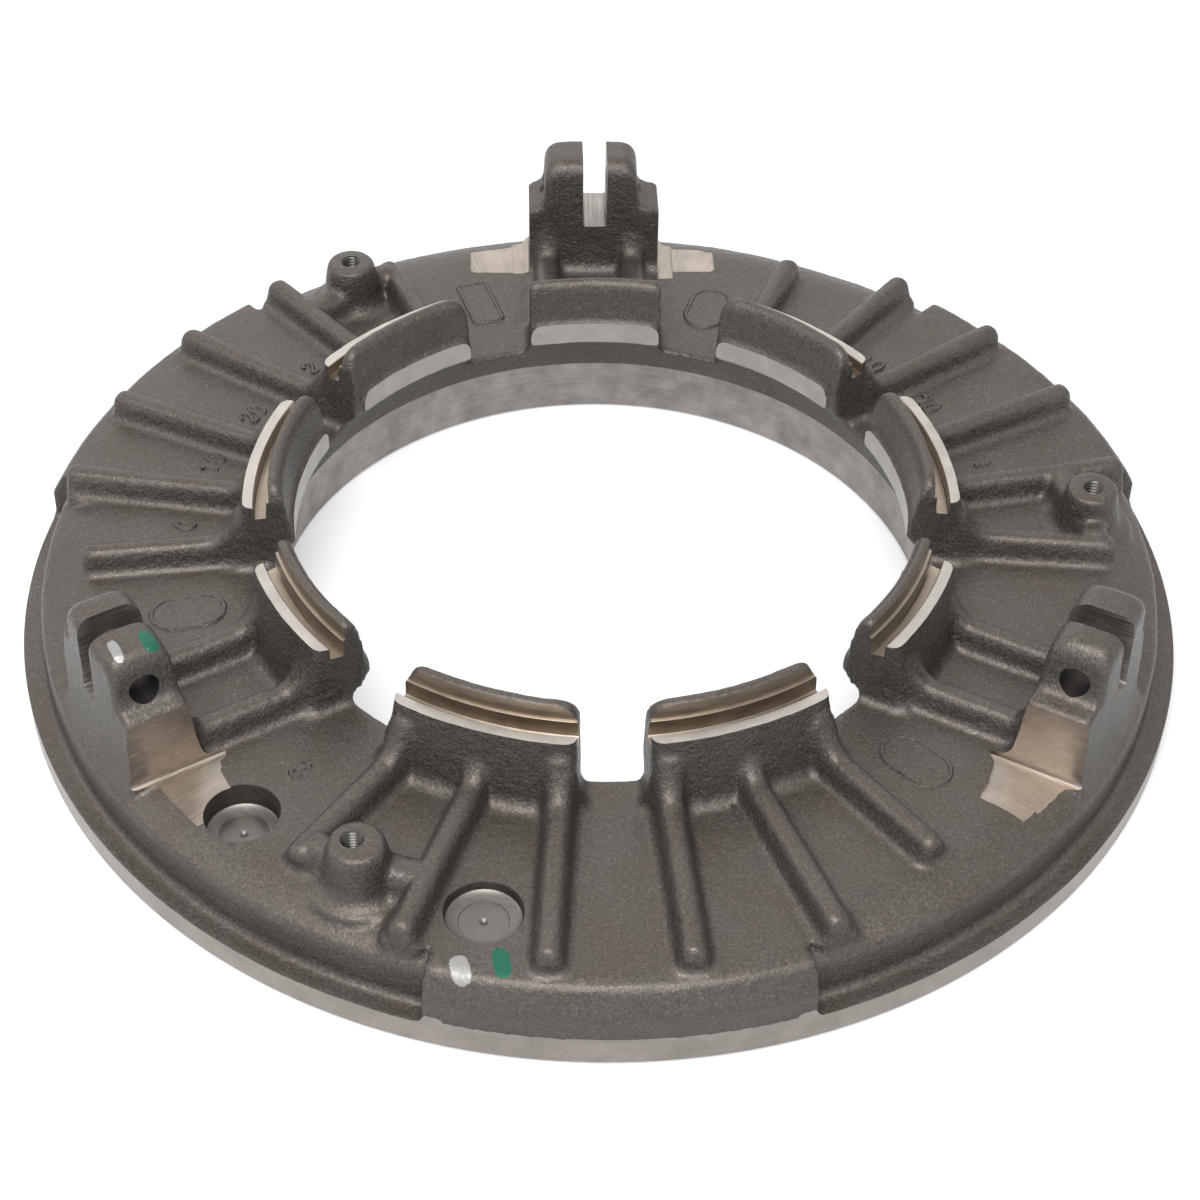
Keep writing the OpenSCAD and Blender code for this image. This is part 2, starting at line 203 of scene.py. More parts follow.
class Workshop:
    """Turns closed forms into Blender objects and cuts them with each other."""

    def __init__(self, materials: list[bpy.types.Material]) -> None:
        """Keeps the materials, one for each skin and in the same order."""
        self.materials = materials

    def make(self, name: str, solids: Iterable[Solid]) -> bpy.types.Object:
        """Makes one object of several closed forms.

        Args:
            name: Name of the object.
            solids: The closed forms, in millimetres.

        Returns:
            The object, in metres, with its normals facing outwards.
        """
        mesh = bpy.data.meshes.new(name)
        points: list[np.ndarray] = []
        faces: list[tuple[int, ...]] = []
        skins: list[int] = []
        for solid in solids:
            offset = sum(len(p) for p in points)
            points.append(solid.points)
            faces += [tuple(i + offset for i in f) for f in solid.faces]
            skins += [solid.skin.value] * len(solid.faces)
        mesh.from_pydata((np.concatenate(points) * MM).tolist(), [], faces)
        for material in self.materials:
            mesh.materials.append(material)
        mesh.polygons.foreach_set("material_index", skins)
        shaper = bmesh.new()
        shaper.from_mesh(mesh)
        bmesh.ops.recalc_face_normals(shaper, faces=shaper.faces)
        shaper.to_mesh(mesh)
        shaper.free()
        thing = bpy.data.objects.new(name, mesh)
        bpy.context.scene.collection.objects.link(thing)
        return thing

    @staticmethod
    def settle(thing: bpy.types.Object) -> None:
        """Applies an object's modifiers to its mesh.

        Args:
            thing: The object.
        """
        depsgraph = bpy.context.evaluated_depsgraph_get()
        settled = bpy.data.meshes.new_from_object(thing.evaluated_get(depsgraph))
        thing.modifiers.clear()
        thing.data = settled

    @staticmethod
    def drop(thing: bpy.types.Object) -> None:
        """Deletes a tool that has done its work."""
        bpy.data.objects.remove(thing)

    def combine(self, thing: bpy.types.Object, tool: bpy.types.Object, operation: str) -> None:
        """Cuts an object with a tool, or keeps what they share.

        Args:
            thing: The object that is changed.
            tool: The closed form that cuts it.
            operation: DIFFERENCE, INTERSECT or UNION.
        """
        cut = thing.modifiers.new("cut", "BOOLEAN")
        cut.operation = operation
        cut.solver = "MANIFOLD"
        cut.material_mode = "TRANSFER"
        cut.object = tool
        bpy.context.view_layer.update()
        self.settle(thing)

    def cut(self, thing: bpy.types.Object, solids: Iterable[Solid]) -> None:
        """Cuts closed forms that don't touch each other out of an object.

        Args:
            thing: The object.
            solids: The closed forms.
        """
        tool = self.make("tool", solids)
        self.combine(thing, tool, "DIFFERENCE")
        self.drop(tool)

    def add(self, thing: bpy.types.Object, solids: Iterable[Solid]) -> None:
        """Adds closed forms that don't touch each other to an object.

        Args:
            thing: The object.
            solids: The closed forms.
        """
        tool = self.make("tool", solids)
        self.combine(thing, tool, "UNION")
        self.drop(tool)

    def part(self, thing: bpy.types.Object, region: bpy.types.Object,
             name: str) -> bpy.types.Object:
        """Takes the share of an object that lies in a region out of it.

        Args:
            thing: The object, which loses that share.
            region: The closed region.
            name: Name of the new piece.

        Returns:
            The new piece.
        """
        piece = bpy.data.objects.new(name, thing.data.copy())
        bpy.context.scene.collection.objects.link(piece)
        self.combine(piece, region, "INTERSECT")
        self.combine(thing, region, "DIFFERENCE")
        self.drop(region)
        return piece


@dataclass(frozen=True)
class PaintDab:
    """A dab of marking paint on the raw iron. Place and size in millimetres."""

    place: Point3
    size: Point2
    heading: float
    colour: Colour


@dataclass(frozen=True)
class CastSkin:
    """Sand-cast iron after shot blasting: grey and grainy. Its walls carry painted shade, and its
    small glints are glossier spots that also carry painted highlights in their colour.
    """

    name: str = "cast_iron_skin"
    warm_colour: Colour = (0.100, 0.081, 0.068)
    cool_colour: Colour = (0.091, 0.080, 0.070)
    # Painted shade: the darker colour given to upright faces, where less light falls.
    painted_wall_shade_colour: Colour = (0.078, 0.070, 0.062)
    metallic: float = 0.45
    roughness: float = 0.37
    grain_pitch: float = 0.80 * MM
    peel_pitch: float = 2.2 * MM
    glint_pitch: float = 0.55 * MM
    patch_pitch: float = 17.0 * MM
    grain_depth: float = 0.17 * MM
    peel_depth: float = 0.22 * MM
    wall_relief: float = 3.0
    floor_relief: float = 0.8
    dabs: tuple[PaintDab, ...] = ()

    def material(self) -> bpy.types.Material:
        """Builds the material.

        Returns:
            The node material.
        """
        build = MaterialBuilder(self.name)
        place = build.place()
        grain = build.noise(place, 1 / self.grain_pitch, detail=4.0, roughness=0.62)
        peel = build.noise(place, 1 / self.peel_pitch, detail=3.0, roughness=0.55)
        patch = build.noise(place, 1 / self.patch_pitch, detail=4.0, roughness=0.55)
        # Glint spots: glossier in roughness, and lit up in colour below as a painted highlight.
        sparkle = build.noise(place, 1 / self.glint_pitch, detail=1.0, roughness=0.5)
        glossy_and_painted_glint = build.ramp(sparkle, [(0.60, 0.0), (0.70, 1.0)])
        floor = build.mix(build.span(patch, 0.0, 1.0), self.warm_colour, self.cool_colour)
        # Painted shade: faces darken from the floor colour to the wall colour as they turn from
        # facing up to upright.
        base = build.mix(build.upward(), self.painted_wall_shade_colour, floor)
        shade = build.ramp(grain, [(0.30, 0.66), (0.50, 1.0), (0.70, 1.36)])
        tone = build.ramp(patch, [(0.30, 0.90), (0.70, 1.10)])
        # Painted highlight: on the glint spots the colour is lifted to as much as 1.5 times,
        # standing in for glints of light.
        light = build.ramp(glossy_and_painted_glint, [(0.0, 1.0), (1.0, 1.5)])
        colour = build.scaled(base, build.times(build.times(shade, tone), light))
        for dab in self.dabs:
            colour = build.mix(build.dab(dab, grain), colour, dab.colour)
        build.connect(colour, "Base Color")
        dull = build.span(grain, self.roughness - 0.08, self.roughness + 0.14)
        build.connect(build.math("SUBTRACT", dull, build.times(glossy_and_painted_glint, 0.16)), "Roughness")
        build.set("Metallic", self.metallic)
        relief = build.ramp(build.upward(), [(0.0, self.wall_relief), (1.0, self.floor_relief)])
        waves, pits = (build.times(build.math("SUBTRACT", noise, 0.5), relief)
                       for noise in (peel, grain))
        build.bump([(waves, 0.8, self.peel_depth), (pits, 0.9, self.grain_depth)])
        return build.finished


@dataclass(frozen=True)
class CutIron:
    """Bare iron as a tool left it, with marks that run round or along a radius."""

    name: str
    colour: Colour
    roughness: float
    lay: Lay
    pitch: float = 0.35 * MM
    depth: float = 0.02 * MM
    contrast: float = 0.10
    stain: float = 0.10
    metallic: float = 1.0

    def material(self) -> bpy.types.Material:
        """Builds the material.

        Returns:
            The node material.
        """
        build = MaterialBuilder(self.name)
        place = build.lay(self.lay, self.pitch)
        marks = build.noise(place, 1.0, detail=3.0, roughness=0.65)
        cloud = build.noise(build.place(), 1 / (8 * MM), detail=4.0, roughness=0.6)
        shade = build.ramp(marks, [(0.25, 1 - 1.6 * self.contrast), (0.75, 1 + self.contrast)])
        tone = build.ramp(cloud, [(0.3, 1 - 1.5 * self.stain), (0.7, 1 + self.stain)])
        build.connect(build.scaled(build.rgb(self.colour), build.times(shade, tone)), "Base Color")
        build.connect(build.span(marks, self.roughness - 0.06, self.roughness + 0.08), "Roughness")
        build.set("Metallic", self.metallic)
        build.bump([(marks, 0.5, self.depth)])
        return build.finished


class NodeBench:
    """Lays out small sums of shader nodes in a node tree."""

    def __init__(self, tree: bpy.types.NodeTree) -> None:
        """Starts on a node tree."""
        self.nodes = tree.nodes
        self.links = tree.links

    def feed(self, value: Socket | float, socket: Socket) -> None:
        """Gives a socket a source or a number.

        Args:
            value: The source or the number.
            socket: The socket.
        """
        if isinstance(value, (int, float)):
            socket.default_value = value
        else:
            self.links.new(value, socket)

    def math(self, operation: str, first: Socket | float, second: Socket | float = 0.0) -> Socket:
        """Arithmetic on two numbers.

        Args:
            operation: Name of the operation.
            first: A source or a number.
            second: A source or a number.

        Returns:
            The result.
        """
        node = self.nodes.new("ShaderNodeMath")
        node.operation = operation
        self.feed(first, node.inputs[0])
        self.feed(second, node.inputs[1])
        return node.outputs[0]

    def times(self, first: Socket | float, second: Socket | float) -> Socket:
        """The product of two numbers."""
        return self.math("MULTIPLY", first, second)

    def ramp(self, source: Socket, stops: list[tuple[float, float]]) -> Socket:
        """A number led through straight stretches.

        Args:
            source: The number.
            stops: Pairs of a source value and its result.

        Returns:
            The result, level beyond the first and the last stop.
        """
        result: Socket | None = None
        for (low, start), (high, end) in zip(stops, stops[1:]):
            node = self.nodes.new("ShaderNodeMapRange")
            node.inputs["From Min"].default_value = low
            node.inputs["From Max"].default_value = high
            node.inputs["To Min"].default_value = start if result is None else 0.0
            node.inputs["To Max"].default_value = end if result is None else end - start
            self.links.new(source, node.inputs["Value"])
            stretch = node.outputs["Result"]
            result = stretch if result is None else self.math("ADD", result, stretch)
        return result

    def parts(self, vector: Socket) -> tuple[Socket, Socket, Socket]:
        """The three parts of a vector.

        Args:
            vector: The vector.

        Returns:
            Its X, Y and Z.
        """
        node = self.nodes.new("ShaderNodeSeparateXYZ")
        self.links.new(vector, node.inputs[0])
        return node.outputs[0], node.outputs[1], node.outputs[2]

    def looked_at(self) -> Socket:
        """1 for a ray of the camera and for one that a mirror or a glass sends on.

        Returns:
            The factor, 0 for any other ray.
        """
        path = self.nodes.new("ShaderNodeLightPath")
        mirrored = self.math("MAXIMUM", path.outputs["Is Glossy Ray"],
                             path.outputs["Is Transmission Ray"])
        return self.math("MAXIMUM", path.outputs["Is Camera Ray"], mirrored)


class MaterialBuilder(NodeBench):
    """Lays out a node material a step at a time."""

    def __init__(self, name: str) -> None:
        """Starts an empty material around one surface shader.

        Args:
            name: Name of the material.
        """
        self.finished = bpy.data.materials.new(name)
        self.finished.use_nodes = True
        super().__init__(self.finished.node_tree)
        self.shader = next(n for n in self.nodes if n.type == "BSDF_PRINCIPLED")

    def set(self, socket: str, value: float) -> None:
        """Sets a constant on the shader's own socket."""
        self.shader.inputs[socket].default_value = value

    def connect(self, source: Socket, socket: str) -> None:
        """Joins a source to one of the shader's sockets."""
        self.links.new(source, self.shader.inputs[socket])

    def place(self) -> Socket:
        """The point on the object, in metres in the plate's frame."""
        return self.nodes.new("ShaderNodeTexCoord").outputs["Object"]

    def rgb(self, colour: Colour) -> Socket:
        """A plain colour.

        Args:
            colour: Its linear red, green and blue.

        Returns:
            The colour.
        """
        node = self.nodes.new("ShaderNodeRGB")
        node.outputs[0].default_value = (*colour, 1.0)
        return node.outputs[0]

    def lay(self, lay: Lay, pitch: float) -> Socket:
        """A point that changes quickly across the tool marks and slowly along them.

        Args:
            lay: Direction of the marks.
            pitch: Width of a mark, in metres.

        Returns:
            The stretched point.
        """
        x, y, z = self.parts(self.place())
        radius = self.math("SQRT", self.math("ADD", self.times(x, x), self.times(y, y)))
        arc_length = self.times(self.math("ARCTAN2", y, x), 140 * MM)
        across, stretched = (arc_length, radius) if lay is Lay.RADIAL else (radius, arc_length)
        joined = self.nodes.new("ShaderNodeCombineXYZ")
        self.links.new(self.times(across, 1 / pitch), joined.inputs[0])
        self.links.new(self.times(z, 1 / pitch), joined.inputs[1])
        self.links.new(self.times(stretched, 0.03 / pitch), joined.inputs[2])
        return joined.outputs[0]

    def upward(self) -> Socket:
        """How far the surface faces up, from 0 on a wall to 1 on a floor."""
        normal = self.nodes.new("ShaderNodeNewGeometry").outputs["Normal"]
        return self.ramp(self.parts(normal)[2], [(0.1, 0.0), (0.85, 1.0)])

    def dab(self, dab: PaintDab, ragged: Socket) -> Socket:
        """Where a dab of paint lies.

        Args:
            dab: The dab.
            ragged: Noise that breaks up its edge.

        Returns:
            1 on the dab and 0 beside it.
        """
        node = self.nodes.new("ShaderNodeMapping")
        node.vector_type = "TEXTURE"
        node.inputs["Location"].default_value = [v * MM for v in dab.place]
        node.inputs["Rotation"].default_value = (0.0, 0.0, math.radians(dab.heading))
        half = [v * MM / 2 for v in dab.size]
        node.inputs["Scale"].default_value = (half[0], half[1], max(half))
        self.links.new(self.place(), node.inputs["Vector"])
        squares = [self.math("POWER", self.math("ABSOLUTE", part), 3.0)
                   for part in self.parts(node.outputs["Vector"])]
        far = self.math("ADD", self.math("ADD", squares[0], squares[1]), squares[2])
        return self.ramp(self.math("ADD", far, self.times(ragged, 0.9)), [(1.35, 1.0), (1.5, 0.0)])

    def noise(self, place: Socket, scale: float, detail: float, roughness: float) -> Socket:
        """Fractal noise.

        Args:
            place: Where it is read.
            scale: Its scale, in cells to a unit of place.
            detail: Number of octaves.
            roughness: Strength of the finer octaves.

        Returns:
            A number around 0.5.
        """
        node = self.nodes.new("ShaderNodeTexNoise")
        node.inputs["Scale"].default_value = scale
        node.inputs["Detail"].default_value = detail
        node.inputs["Roughness"].default_value = roughness
        self.links.new(place, node.inputs["Vector"])
        return node.outputs["Fac"]

    def span(self, source: Socket, low: float, high: float) -> Socket:
        """Noise spread over a range of values."""
        return self.ramp(source, [(0.3, low), (0.7, high)])

    def mix(self, factor: Socket, first: Socket | Colour, second: Socket | Colour) -> Socket:
        """A blend of two colours by a factor.

        Args:
            factor: Share of the second colour.
            first: A source or a colour.
            second: A source or a colour.

        Returns:
            The blend.
        """
        node = self.nodes.new("ShaderNodeMix")
        node.data_type = "RGBA"
        self.links.new(factor, node.inputs[0])
        for colour, socket in ((first, node.inputs[6]), (second, node.inputs[7])):
            self.links.new(self.rgb(colour) if isinstance(colour, tuple) else colour, socket)
        return node.outputs[2]

    def scaled(self, colour: Socket, factor: Socket) -> Socket:
        """A colour made lighter or darker by a factor.

        Args:
            colour: The colour.
            factor: The factor.

        Returns:
            The new colour.
        """
        node = self.nodes.new("ShaderNodeVectorMath")
        node.operation = "SCALE"
        self.links.new(colour, node.inputs[0])
        self.links.new(factor, node.inputs["Scale"])
        return node.outputs[0]

    def bump(self, layers: list[tuple[Socket, float, float]]) -> None:
        """Adds small relief.

        Args:
            layers: For each layer its height, its strength and its depth in metres.
        """
        below: Socket | None = None
        for height, strength, depth in layers:
            node = self.nodes.new("ShaderNodeBump")
            node.inputs["Strength"].default_value = strength
            node.inputs["Distance"].default_value = depth
            self.links.new(height, node.inputs["Height"])
            if below is not None:
                self.links.new(below, node.inputs["Normal"])
            below = node.outputs["Normal"]
        self.connect(below, "Normal")


PART_Z = 22.4
FLOOR_Z = 24.0


def rounding(radius: float, from_end: float) -> float:
    """How far a quarter round of a radius has fallen away at a distance from its end.

    Args:
        radius: Radius of the round.
        from_end: Distance from its end.

    Returns:
        The fall, 0 beyond the round.
    """
    if from_end >= radius:
        return 0.0
    return radius - math.sqrt(max(radius**2 - (radius - from_end) ** 2, 0.0))


def crowded(steps: int) -> list[float]:
    """Shares from -1 to 1 that lie closer together near both ends."""
    return [math.sin(math.pi / 2 * (2 * k / steps - 1)) for k in range(steps + 1)]


def bead(path: Outline, width: float, low: float, high: float, closed: bool) -> Solid:
    """A raised line with sloping sides that follows a path in plan.

    Args:
        path: Points of the path.
        width: Width of the line at its top.
        low: Height of its foot.
        high: Height of its top.
        closed: Whether the path runs back to its start.

    Returns:
        The closed form.
    """
    points = np.array(path, float)
    if closed:
        along = np.roll(points, -1, axis=0) - np.roll(points, 1, axis=0)
    else:
        along = np.gradient(points, axis=0)
    along /= np.linalg.norm(along, axis=1)[:, None]
    aside = np.stack([-along[:, 1], along[:, 0]], axis=1)
    side = [(width / 2 + 1.0, low), (width / 2 + 0.3, high - 0.4), (width / 2, high)]
    section = side + [(-w, z) for w, z in reversed(side)]
    rings = [[(*(p + n * w), z) for w, z in section] for p, n in zip(points, aside)]
    return loft(rings, closed=closed)


@dataclass
class Ring:
    """The friction ring: a turned rim, bore and face under a cast floor. Sizes in millimetres."""

    rim_r: float = 160.0
    bore_r: float = 91.5
    bore_h: float = 17.5
    band_h: float = 8.0
    wall_r: float = 154.0
    edge_round: float = 2.5
    ledge_fillet: float = 1.9
    pads: tuple[Point2, ...] = ((11.6, 46.2), (132.8, 168.4), (252.8, 287.2))
    pad_drop: float = 6.8
    horn_angle: float = 1.5
    face_chamfer: float = 0.8
    inner_r: float = 89.9
    stock: float = 1.2

    def cast(self) -> list[Solid]:
        """The raw ring and its three full-width pads.

        Returns:
            The closed forms.
        """
        raw_rim = self.rim_r + self.stock
        ledge, wall, fillet = self.band_h, self.wall_r, self.ledge_fillet
        base: Outline = [(90.6, -2.0), (raw_rim, -2.0), (raw_rim, ledge)]
        base += arc((wall + fillet, ledge + fillet), fillet, 270, 180, 5)
        base += arc((wall - self.edge_round, 18.1), self.edge_round, 0, 60, 5)
        base += [(151.5, 20.9), (150.0, 21.6), (148.0, 22.45), (145.6, 23.22), (143.0, 23.76),
                 (140.0, FLOOR_Z), (self.inner_r + 0.5, FLOOR_Z),
                 (self.inner_r, FLOOR_Z - 0.5), (90.3, self.bore_h)]
        edge = self.rim_r - 0.12
        shoulder = FLOOR_Z - self.pad_drop
        pad: Outline = [(139.0, 5.0), (raw_rim, 5.0), (raw_rim, ledge - 0.4), (edge, ledge + 0.6),
                        (edge - 0.1, shoulder - 1.0), (edge - 0.9, shoulder + 0.8),
                        (156.6, 22.2), (155.2, 23.3), (153.0, 23.8), (149.5, 23.97),
                        (139.0, FLOOR_Z)]
        horn: Outline = [(156.0, 5.0), (raw_rim, 5.0), (raw_rim, ledge + 1.0),
                         (edge, ledge + 2.4), (156.0, ledge + 2.4)]
        solids = [revolve(base)]
        for start, end in self.pads:
            solids.append(revolve(pad, start, end - start, 60))
        start, end = self.pads[2]
        for place in (start, end - self.horn_angle):
            solids.append(revolve(horn, place, self.horn_angle, 4))
        return solids

    def turning(self) -> list[Solid]:
        """The turning cut on the rim, the friction face and the bore.

        Returns:
            The closed forms that the tools sweep.
        """
        rim = self.rim_r - 0.02
        c = self.face_chamfer
        outside: Outline = [(170.0, 12.0), (rim, 12.0), (rim, c), (rim - c, 0.0), (125.0, 0.0),
                            (125.0, -6.0), (170.0, -6.0)]
        inside: Outline = [(126.0, 0.0), (self.bore_r + c, 0.0), (self.bore_r, c),
                           (self.bore_r, self.bore_h), (80.0, self.bore_h), (80.0, -6.0),
                           (126.0, -6.0)]
        return [revolve(outside, steps=720, skin=Skin.RIM),
                revolve(inside, steps=720, skin=Skin.BORE)]


@dataclass
class RaisedMarks:
    """Oval pads, a plate and plain figures that stand on the cast floor. In millimetres."""

    oval_l: float = 20.5
    oval_w: float = 12.5
    plate_l: float = 21.0
    plate_w: float = 9.5
    middle_r: float = 115.0
    plate_r: float = 117.8
    line: float = 0.7
    foot_z: float = 23.2
    pad_z: float = 24.3
    line_z: float = 24.65
    figure_h: float = 5.2
    figure_pitch: float = 4.2
    oval_angles: tuple[float, ...] = (193.5, 312.3, 71.5)
    plate_angle: float = 106.8
    figures: tuple[tuple[str, float, float], ...] = (
        ("0", 116.0, 175.7), ("10", 116.0, 162.1), ("20", 116.0, 150.0), ("2", 116.5, 136.7),
        ("2", 116.0, 227.4), ("10", 116.5, 43.6), ("20", 116.0, 31.6), ("1", 116.0, 16.3))

    def pads(self) -> list[Solid]:
        """The low pads, which stay bare.

        Returns:
            One closed form for each pad.
        """
        found = []
        for outline, radius, angle in self._places():
            foot = [(x, y, self.foot_z) for x, y in outline]
            top = [(x * 0.97, y * 0.97, self.pad_z) for x, y in outline]
            found.append(loft([foot, top]).moved(radius, 0.0).turned(angle))
        return found

    def lines(self) -> list[Solid]:
        """The raised lines round the pads, and the figures.

        Returns:
            One closed form for each line.
        """
        found = []
        for outline, radius, angle in self._places():
            path = [(x * 0.95, y * 0.92) for x, y in outline]
            line = bead(path, self.line, self.foot_z + 0.2, self.line_z, closed=True)
            found.append(line.moved(radius, 0.0).turned(angle))
        for text, radius, angle in self.figures:
            for k, digit in enumerate(text):
                side = ((len(text) - 1) / 2 - k) * self.figure_pitch
                found.append(self._figure(digit).moved(radius, side).turned(angle))
        return found

    def _places(self) -> list[tuple[Outline, float, float]]:
        """Outline, radius and angle of each pad.

        Returns:
            One row for each pad.
        """
        half = (self.oval_l - self.oval_w) / 2
        r = self.oval_w / 2
        oval = arc((half, 0.0), r, -90, 90, 16) + arc((-half, 0.0), r, 90, 270, 16)
        x, y = self.plate_l / 2, self.plate_w / 2
        corners = ((x - 1, y - 1, 0), (1 - x, y - 1, 90), (1 - x, 1 - y, 180), (x - 1, 1 - y, 270))
        plate = [p for cx, cy, a in corners for p in arc((cx, cy), 1.0, a, a + 90, 4)]
        places = [(oval, self.middle_r, angle) for angle in self.oval_angles]
        return places + [(plate, self.plate_r, self.plate_angle)]

    def _figure(self, digit: str) -> Solid:
        """A digit as one raised line, upright along the radius.

        Args:
            digit: 0, 1 or 2.

        Returns:
            The closed form, centred on the axis.
        """
        h = self.figure_h / 2
        w = 0.55 * h
        if digit == "0":
            path = [(h * math.sin(a), w * math.cos(a))
                    for a in (2 * math.pi * k / 20 for k in range(20))]
            return bead(path, self.line, self.foot_z, self.line_z, closed=True)
        if digit == "1":
            path = [(h * 0.55, w * 0.8), (h * 0.9, w * 0.15), (h * 0.75, 0.0), (0.0, 0.0), (-h, 0.0)]
        else:
            bow = [(h - w + w * math.sin(a), w * math.cos(a))
                   for a in (math.radians(-10 + 190 * k / 8) for k in range(9))]
            path = bow + [(-0.3 * h, -0.2 * w), (-0.85 * h, w * 0.9), (-h, w * 0.6), (-h, -w)]
        return bead(path, self.line, self.foot_z, self.line_z, closed=False)


@dataclass
class SpringSeat:
    """A seat block with its turned land, groove and lip. Sizes in millimetres."""

    angle: float
    patch_from: float = -14.2
    patch_to: float = 14.2
    narrow: bool = False
    land_z: float = 43.7
    groove_z: float = 40.0
    shoulder_z: float = 45.1
    land_in_r: float = 94.5
    land_out_r: float = 97.0
    lip_out_r: float = 91.0
    lip_turned_r: float = 90.3
    patch_r: float = 84.0
    patch_low: float = 30.2
    patch_top: float = 37.0
    foot_half_angle: float = 14.9
    top_half_angle: float = 14.5
    lip_half: float = 21.9
    narrow_half: float = 19.45
    narrow_turn: float = -0.4
    corner: float = 2.8
    end_fillet: float = 2.8
    wall_r: float = 101.2
    wall_fillet: float = 4.4
    stock: float = 1.4
    lip_corner: float = 4.8
    narrow_lip_corner: float = 1.8
    pad_corner: float = 3.0

    def cast(self) -> list[Solid]:
        """The raw block, its lip and the raised pad inside.

        Returns:
            The closed forms.
        """
        top = self.land_z + self.stock
        profile: Outline = [(90.4, 21.0), (self.wall_r, 21.0), (self.wall_r, 28.4),
                            (97.25, top), (86.2, top), (84.9, 37.4), (84.9, 31.0), (85.2, 29.6),
                            (86.6, 27.5), (89.0, 25.6)]
        lip: Outline = [(87.0, 39.0), (92.6, 39.0), (92.0, 45.0), (91.4, 47.4), (90.8, 49.0),
                        (89.9, 49.8), (88.7, 49.95), (87.6, 49.3), (86.8, 48.1), (86.3, 46.6),
                        (86.1, 44.8), (86.3, 42.0)]
        pad: Outline = [(83.3, self.patch_low), (88.0, self.patch_low),
                        (88.0, self.patch_top), (83.8, self.patch_top),
                        (83.3, self.patch_top - 0.8)]
        middle = (self.patch_from + self.patch_to) / 2
        reach = self.patch_r * math.sin(math.radians((self.patch_to - self.patch_from) / 2))
        if self.narrow:
            reach = self.narrow_half - 0.6
        lip_half = self.narrow_half if self.narrow else self.lip_half
        corner = self.narrow_lip_corner if self.narrow else self.lip_corner
        solids = [self._block(profile), self._skirt(), self._round_topped(lip, lip_half, corner),
                  self._round_topped(pad, reach, self.pad_corner).turned(middle)]
        turn = self.angle + (self.narrow_turn if self.narrow else 0.0)
        return [s.turned(turn) for s in solids]

    def _skirt(self) -> Solid:
        """The fillet between the block and the floor, outside and at both ends.

        Returns:
            The closed form.
        """
        rings = []
        for z in (20.0, FLOOR_Z, 24.25, 24.6, 25.1, 25.8, 26.8, 28.4):
            rise = max(z - FLOOR_Z, 0.0)
            outer = self.wall_r + rounding(self.wall_fillet, rise)
            spread = rounding(self.end_fillet, rise)
            ring = []
            for r, way in ((90.3, 1), (outer, -1)):
                half = self._half_width(r, z) + spread
                for share in crowded(24):
                    inset = rounding(self.corner, (1 - abs(share)) * half) if way < 0 else 0.0
                    y = way * share * half
                    ring.append((math.sqrt(r * r - y * y) - inset, y, z))
            rings.append(ring)
        return loft(rings)

    def _half_width(self, radius: float, z: float) -> float:
        """Half the width of the block at a radius and a height.

        Args:
            radius: Distance from the plate's axis.
            z: Height above the friction face.

        Returns:
            Half the width.
        """
        share = min(max((z - FLOOR_Z) / 20.0, 0.0), 1.0)
        if self.narrow:
            return self.narrow_half + 0.4 * (1 - share)
        angle = self.foot_half_angle + (self.top_half_angle - self.foot_half_angle) * share
        return radius * math.sin(math.radians(angle))

    def _block(self, profile: Outline) -> Solid:
        """A sector whose ends lean inwards and whose outer corners are round in plan.

        Args:
            profile: Its section, as pairs of radius and height.

        Returns:
            The closed form.
        """
        rings = []
        for share in crowded(30):
            ring = []
            for r, z in profile:
                half = self._half_width(r, z)
                inset = rounding(self.corner, (1 - abs(share)) * half)
                if r < self.land_out_r - 0.5 or z < FLOOR_Z + 2:
                    inset = 0.0
                a = math.asin(share * half / r)
                ring.append(((r - inset) * math.cos(a), (r - inset) * math.sin(a), z))
            rings.append(ring)
        return loft(rings)

    @staticmethod
    def _round_topped(profile: Outline, half: float, corner: float) -> Solid:
        """A sector whose top ends in round corners.

        Args:
            profile: Its section, as pairs of radius and height.
            half: Half its width.
            corner: Radius of the round corners.

        Returns:
            The closed form.
        """
        top = max(z for _, z in profile)
        low = min(z for _, z in profile)
        rings = []
        for share in crowded(64):
            drop = rounding(corner, (1 - abs(share)) * half)
            squeeze = (top - drop - low) / (top - low)
            ring = []
            for r, z in profile:
                a = math.asin(share * half / r)
                ring.append((r * math.cos(a), r * math.sin(a), low + (z - low) * squeeze))
            rings.append(ring)
        return loft(rings)

    def turning(self) -> list[Solid]:
        """The cuts of the land, of the groove with the lip, and of the inner patch.

        Returns:
            The three closed forms that the tools sweep, once round the plate.
        """
        lip, shoulder = self.lip_turned_r, self.shoulder_z
        land_in = self.land_in_r
        land: Outline = [(land_in - 0.4, 60.0), (land_in - 0.4, self.land_z),
                         (108.0, self.land_z), (108.0, 60.0)]
        groove: Outline = [(lip, 59.0), (lip, shoulder + 0.1), (self.lip_out_r - 0.1, shoulder),
                           (self.lip_out_r, shoulder - 0.1), (self.lip_out_r, self.groove_z + 0.4),
                           (self.lip_out_r + 0.4, self.groove_z), (land_in - 0.2, self.groove_z),
                           (land_in, self.groove_z + 0.2), (land_in, self.land_z - 0.25),
                           (land_in + 0.3, self.land_z + 0.05), (land_in + 0.3, 59.0)]
        low, high = self.patch_low - 1.2, self.patch_top + 1.2
        patch: Outline = [(80.0, low), (self.patch_r, low), (self.patch_r, high), (80.0, high)]
        return [revolve(land, steps=720, skin=Skin.LAND),
                revolve(groove, steps=720, skin=Skin.GROOVE),
                revolve(patch, steps=720, skin=Skin.PATCH)]

    def region(self, workshop: Workshop) -> bpy.types.Object:
        """The share of the casting that belongs to this seat."""
        plan: Outline = [(76.0, -29.0), (RibFan.start_x, -29.0), (RibFan.start_x, 29.0),
                         (76.0, 29.0)]
        return workshop.make("region", [upright(plan, PART_Z, 62.0).turned(self.angle)])


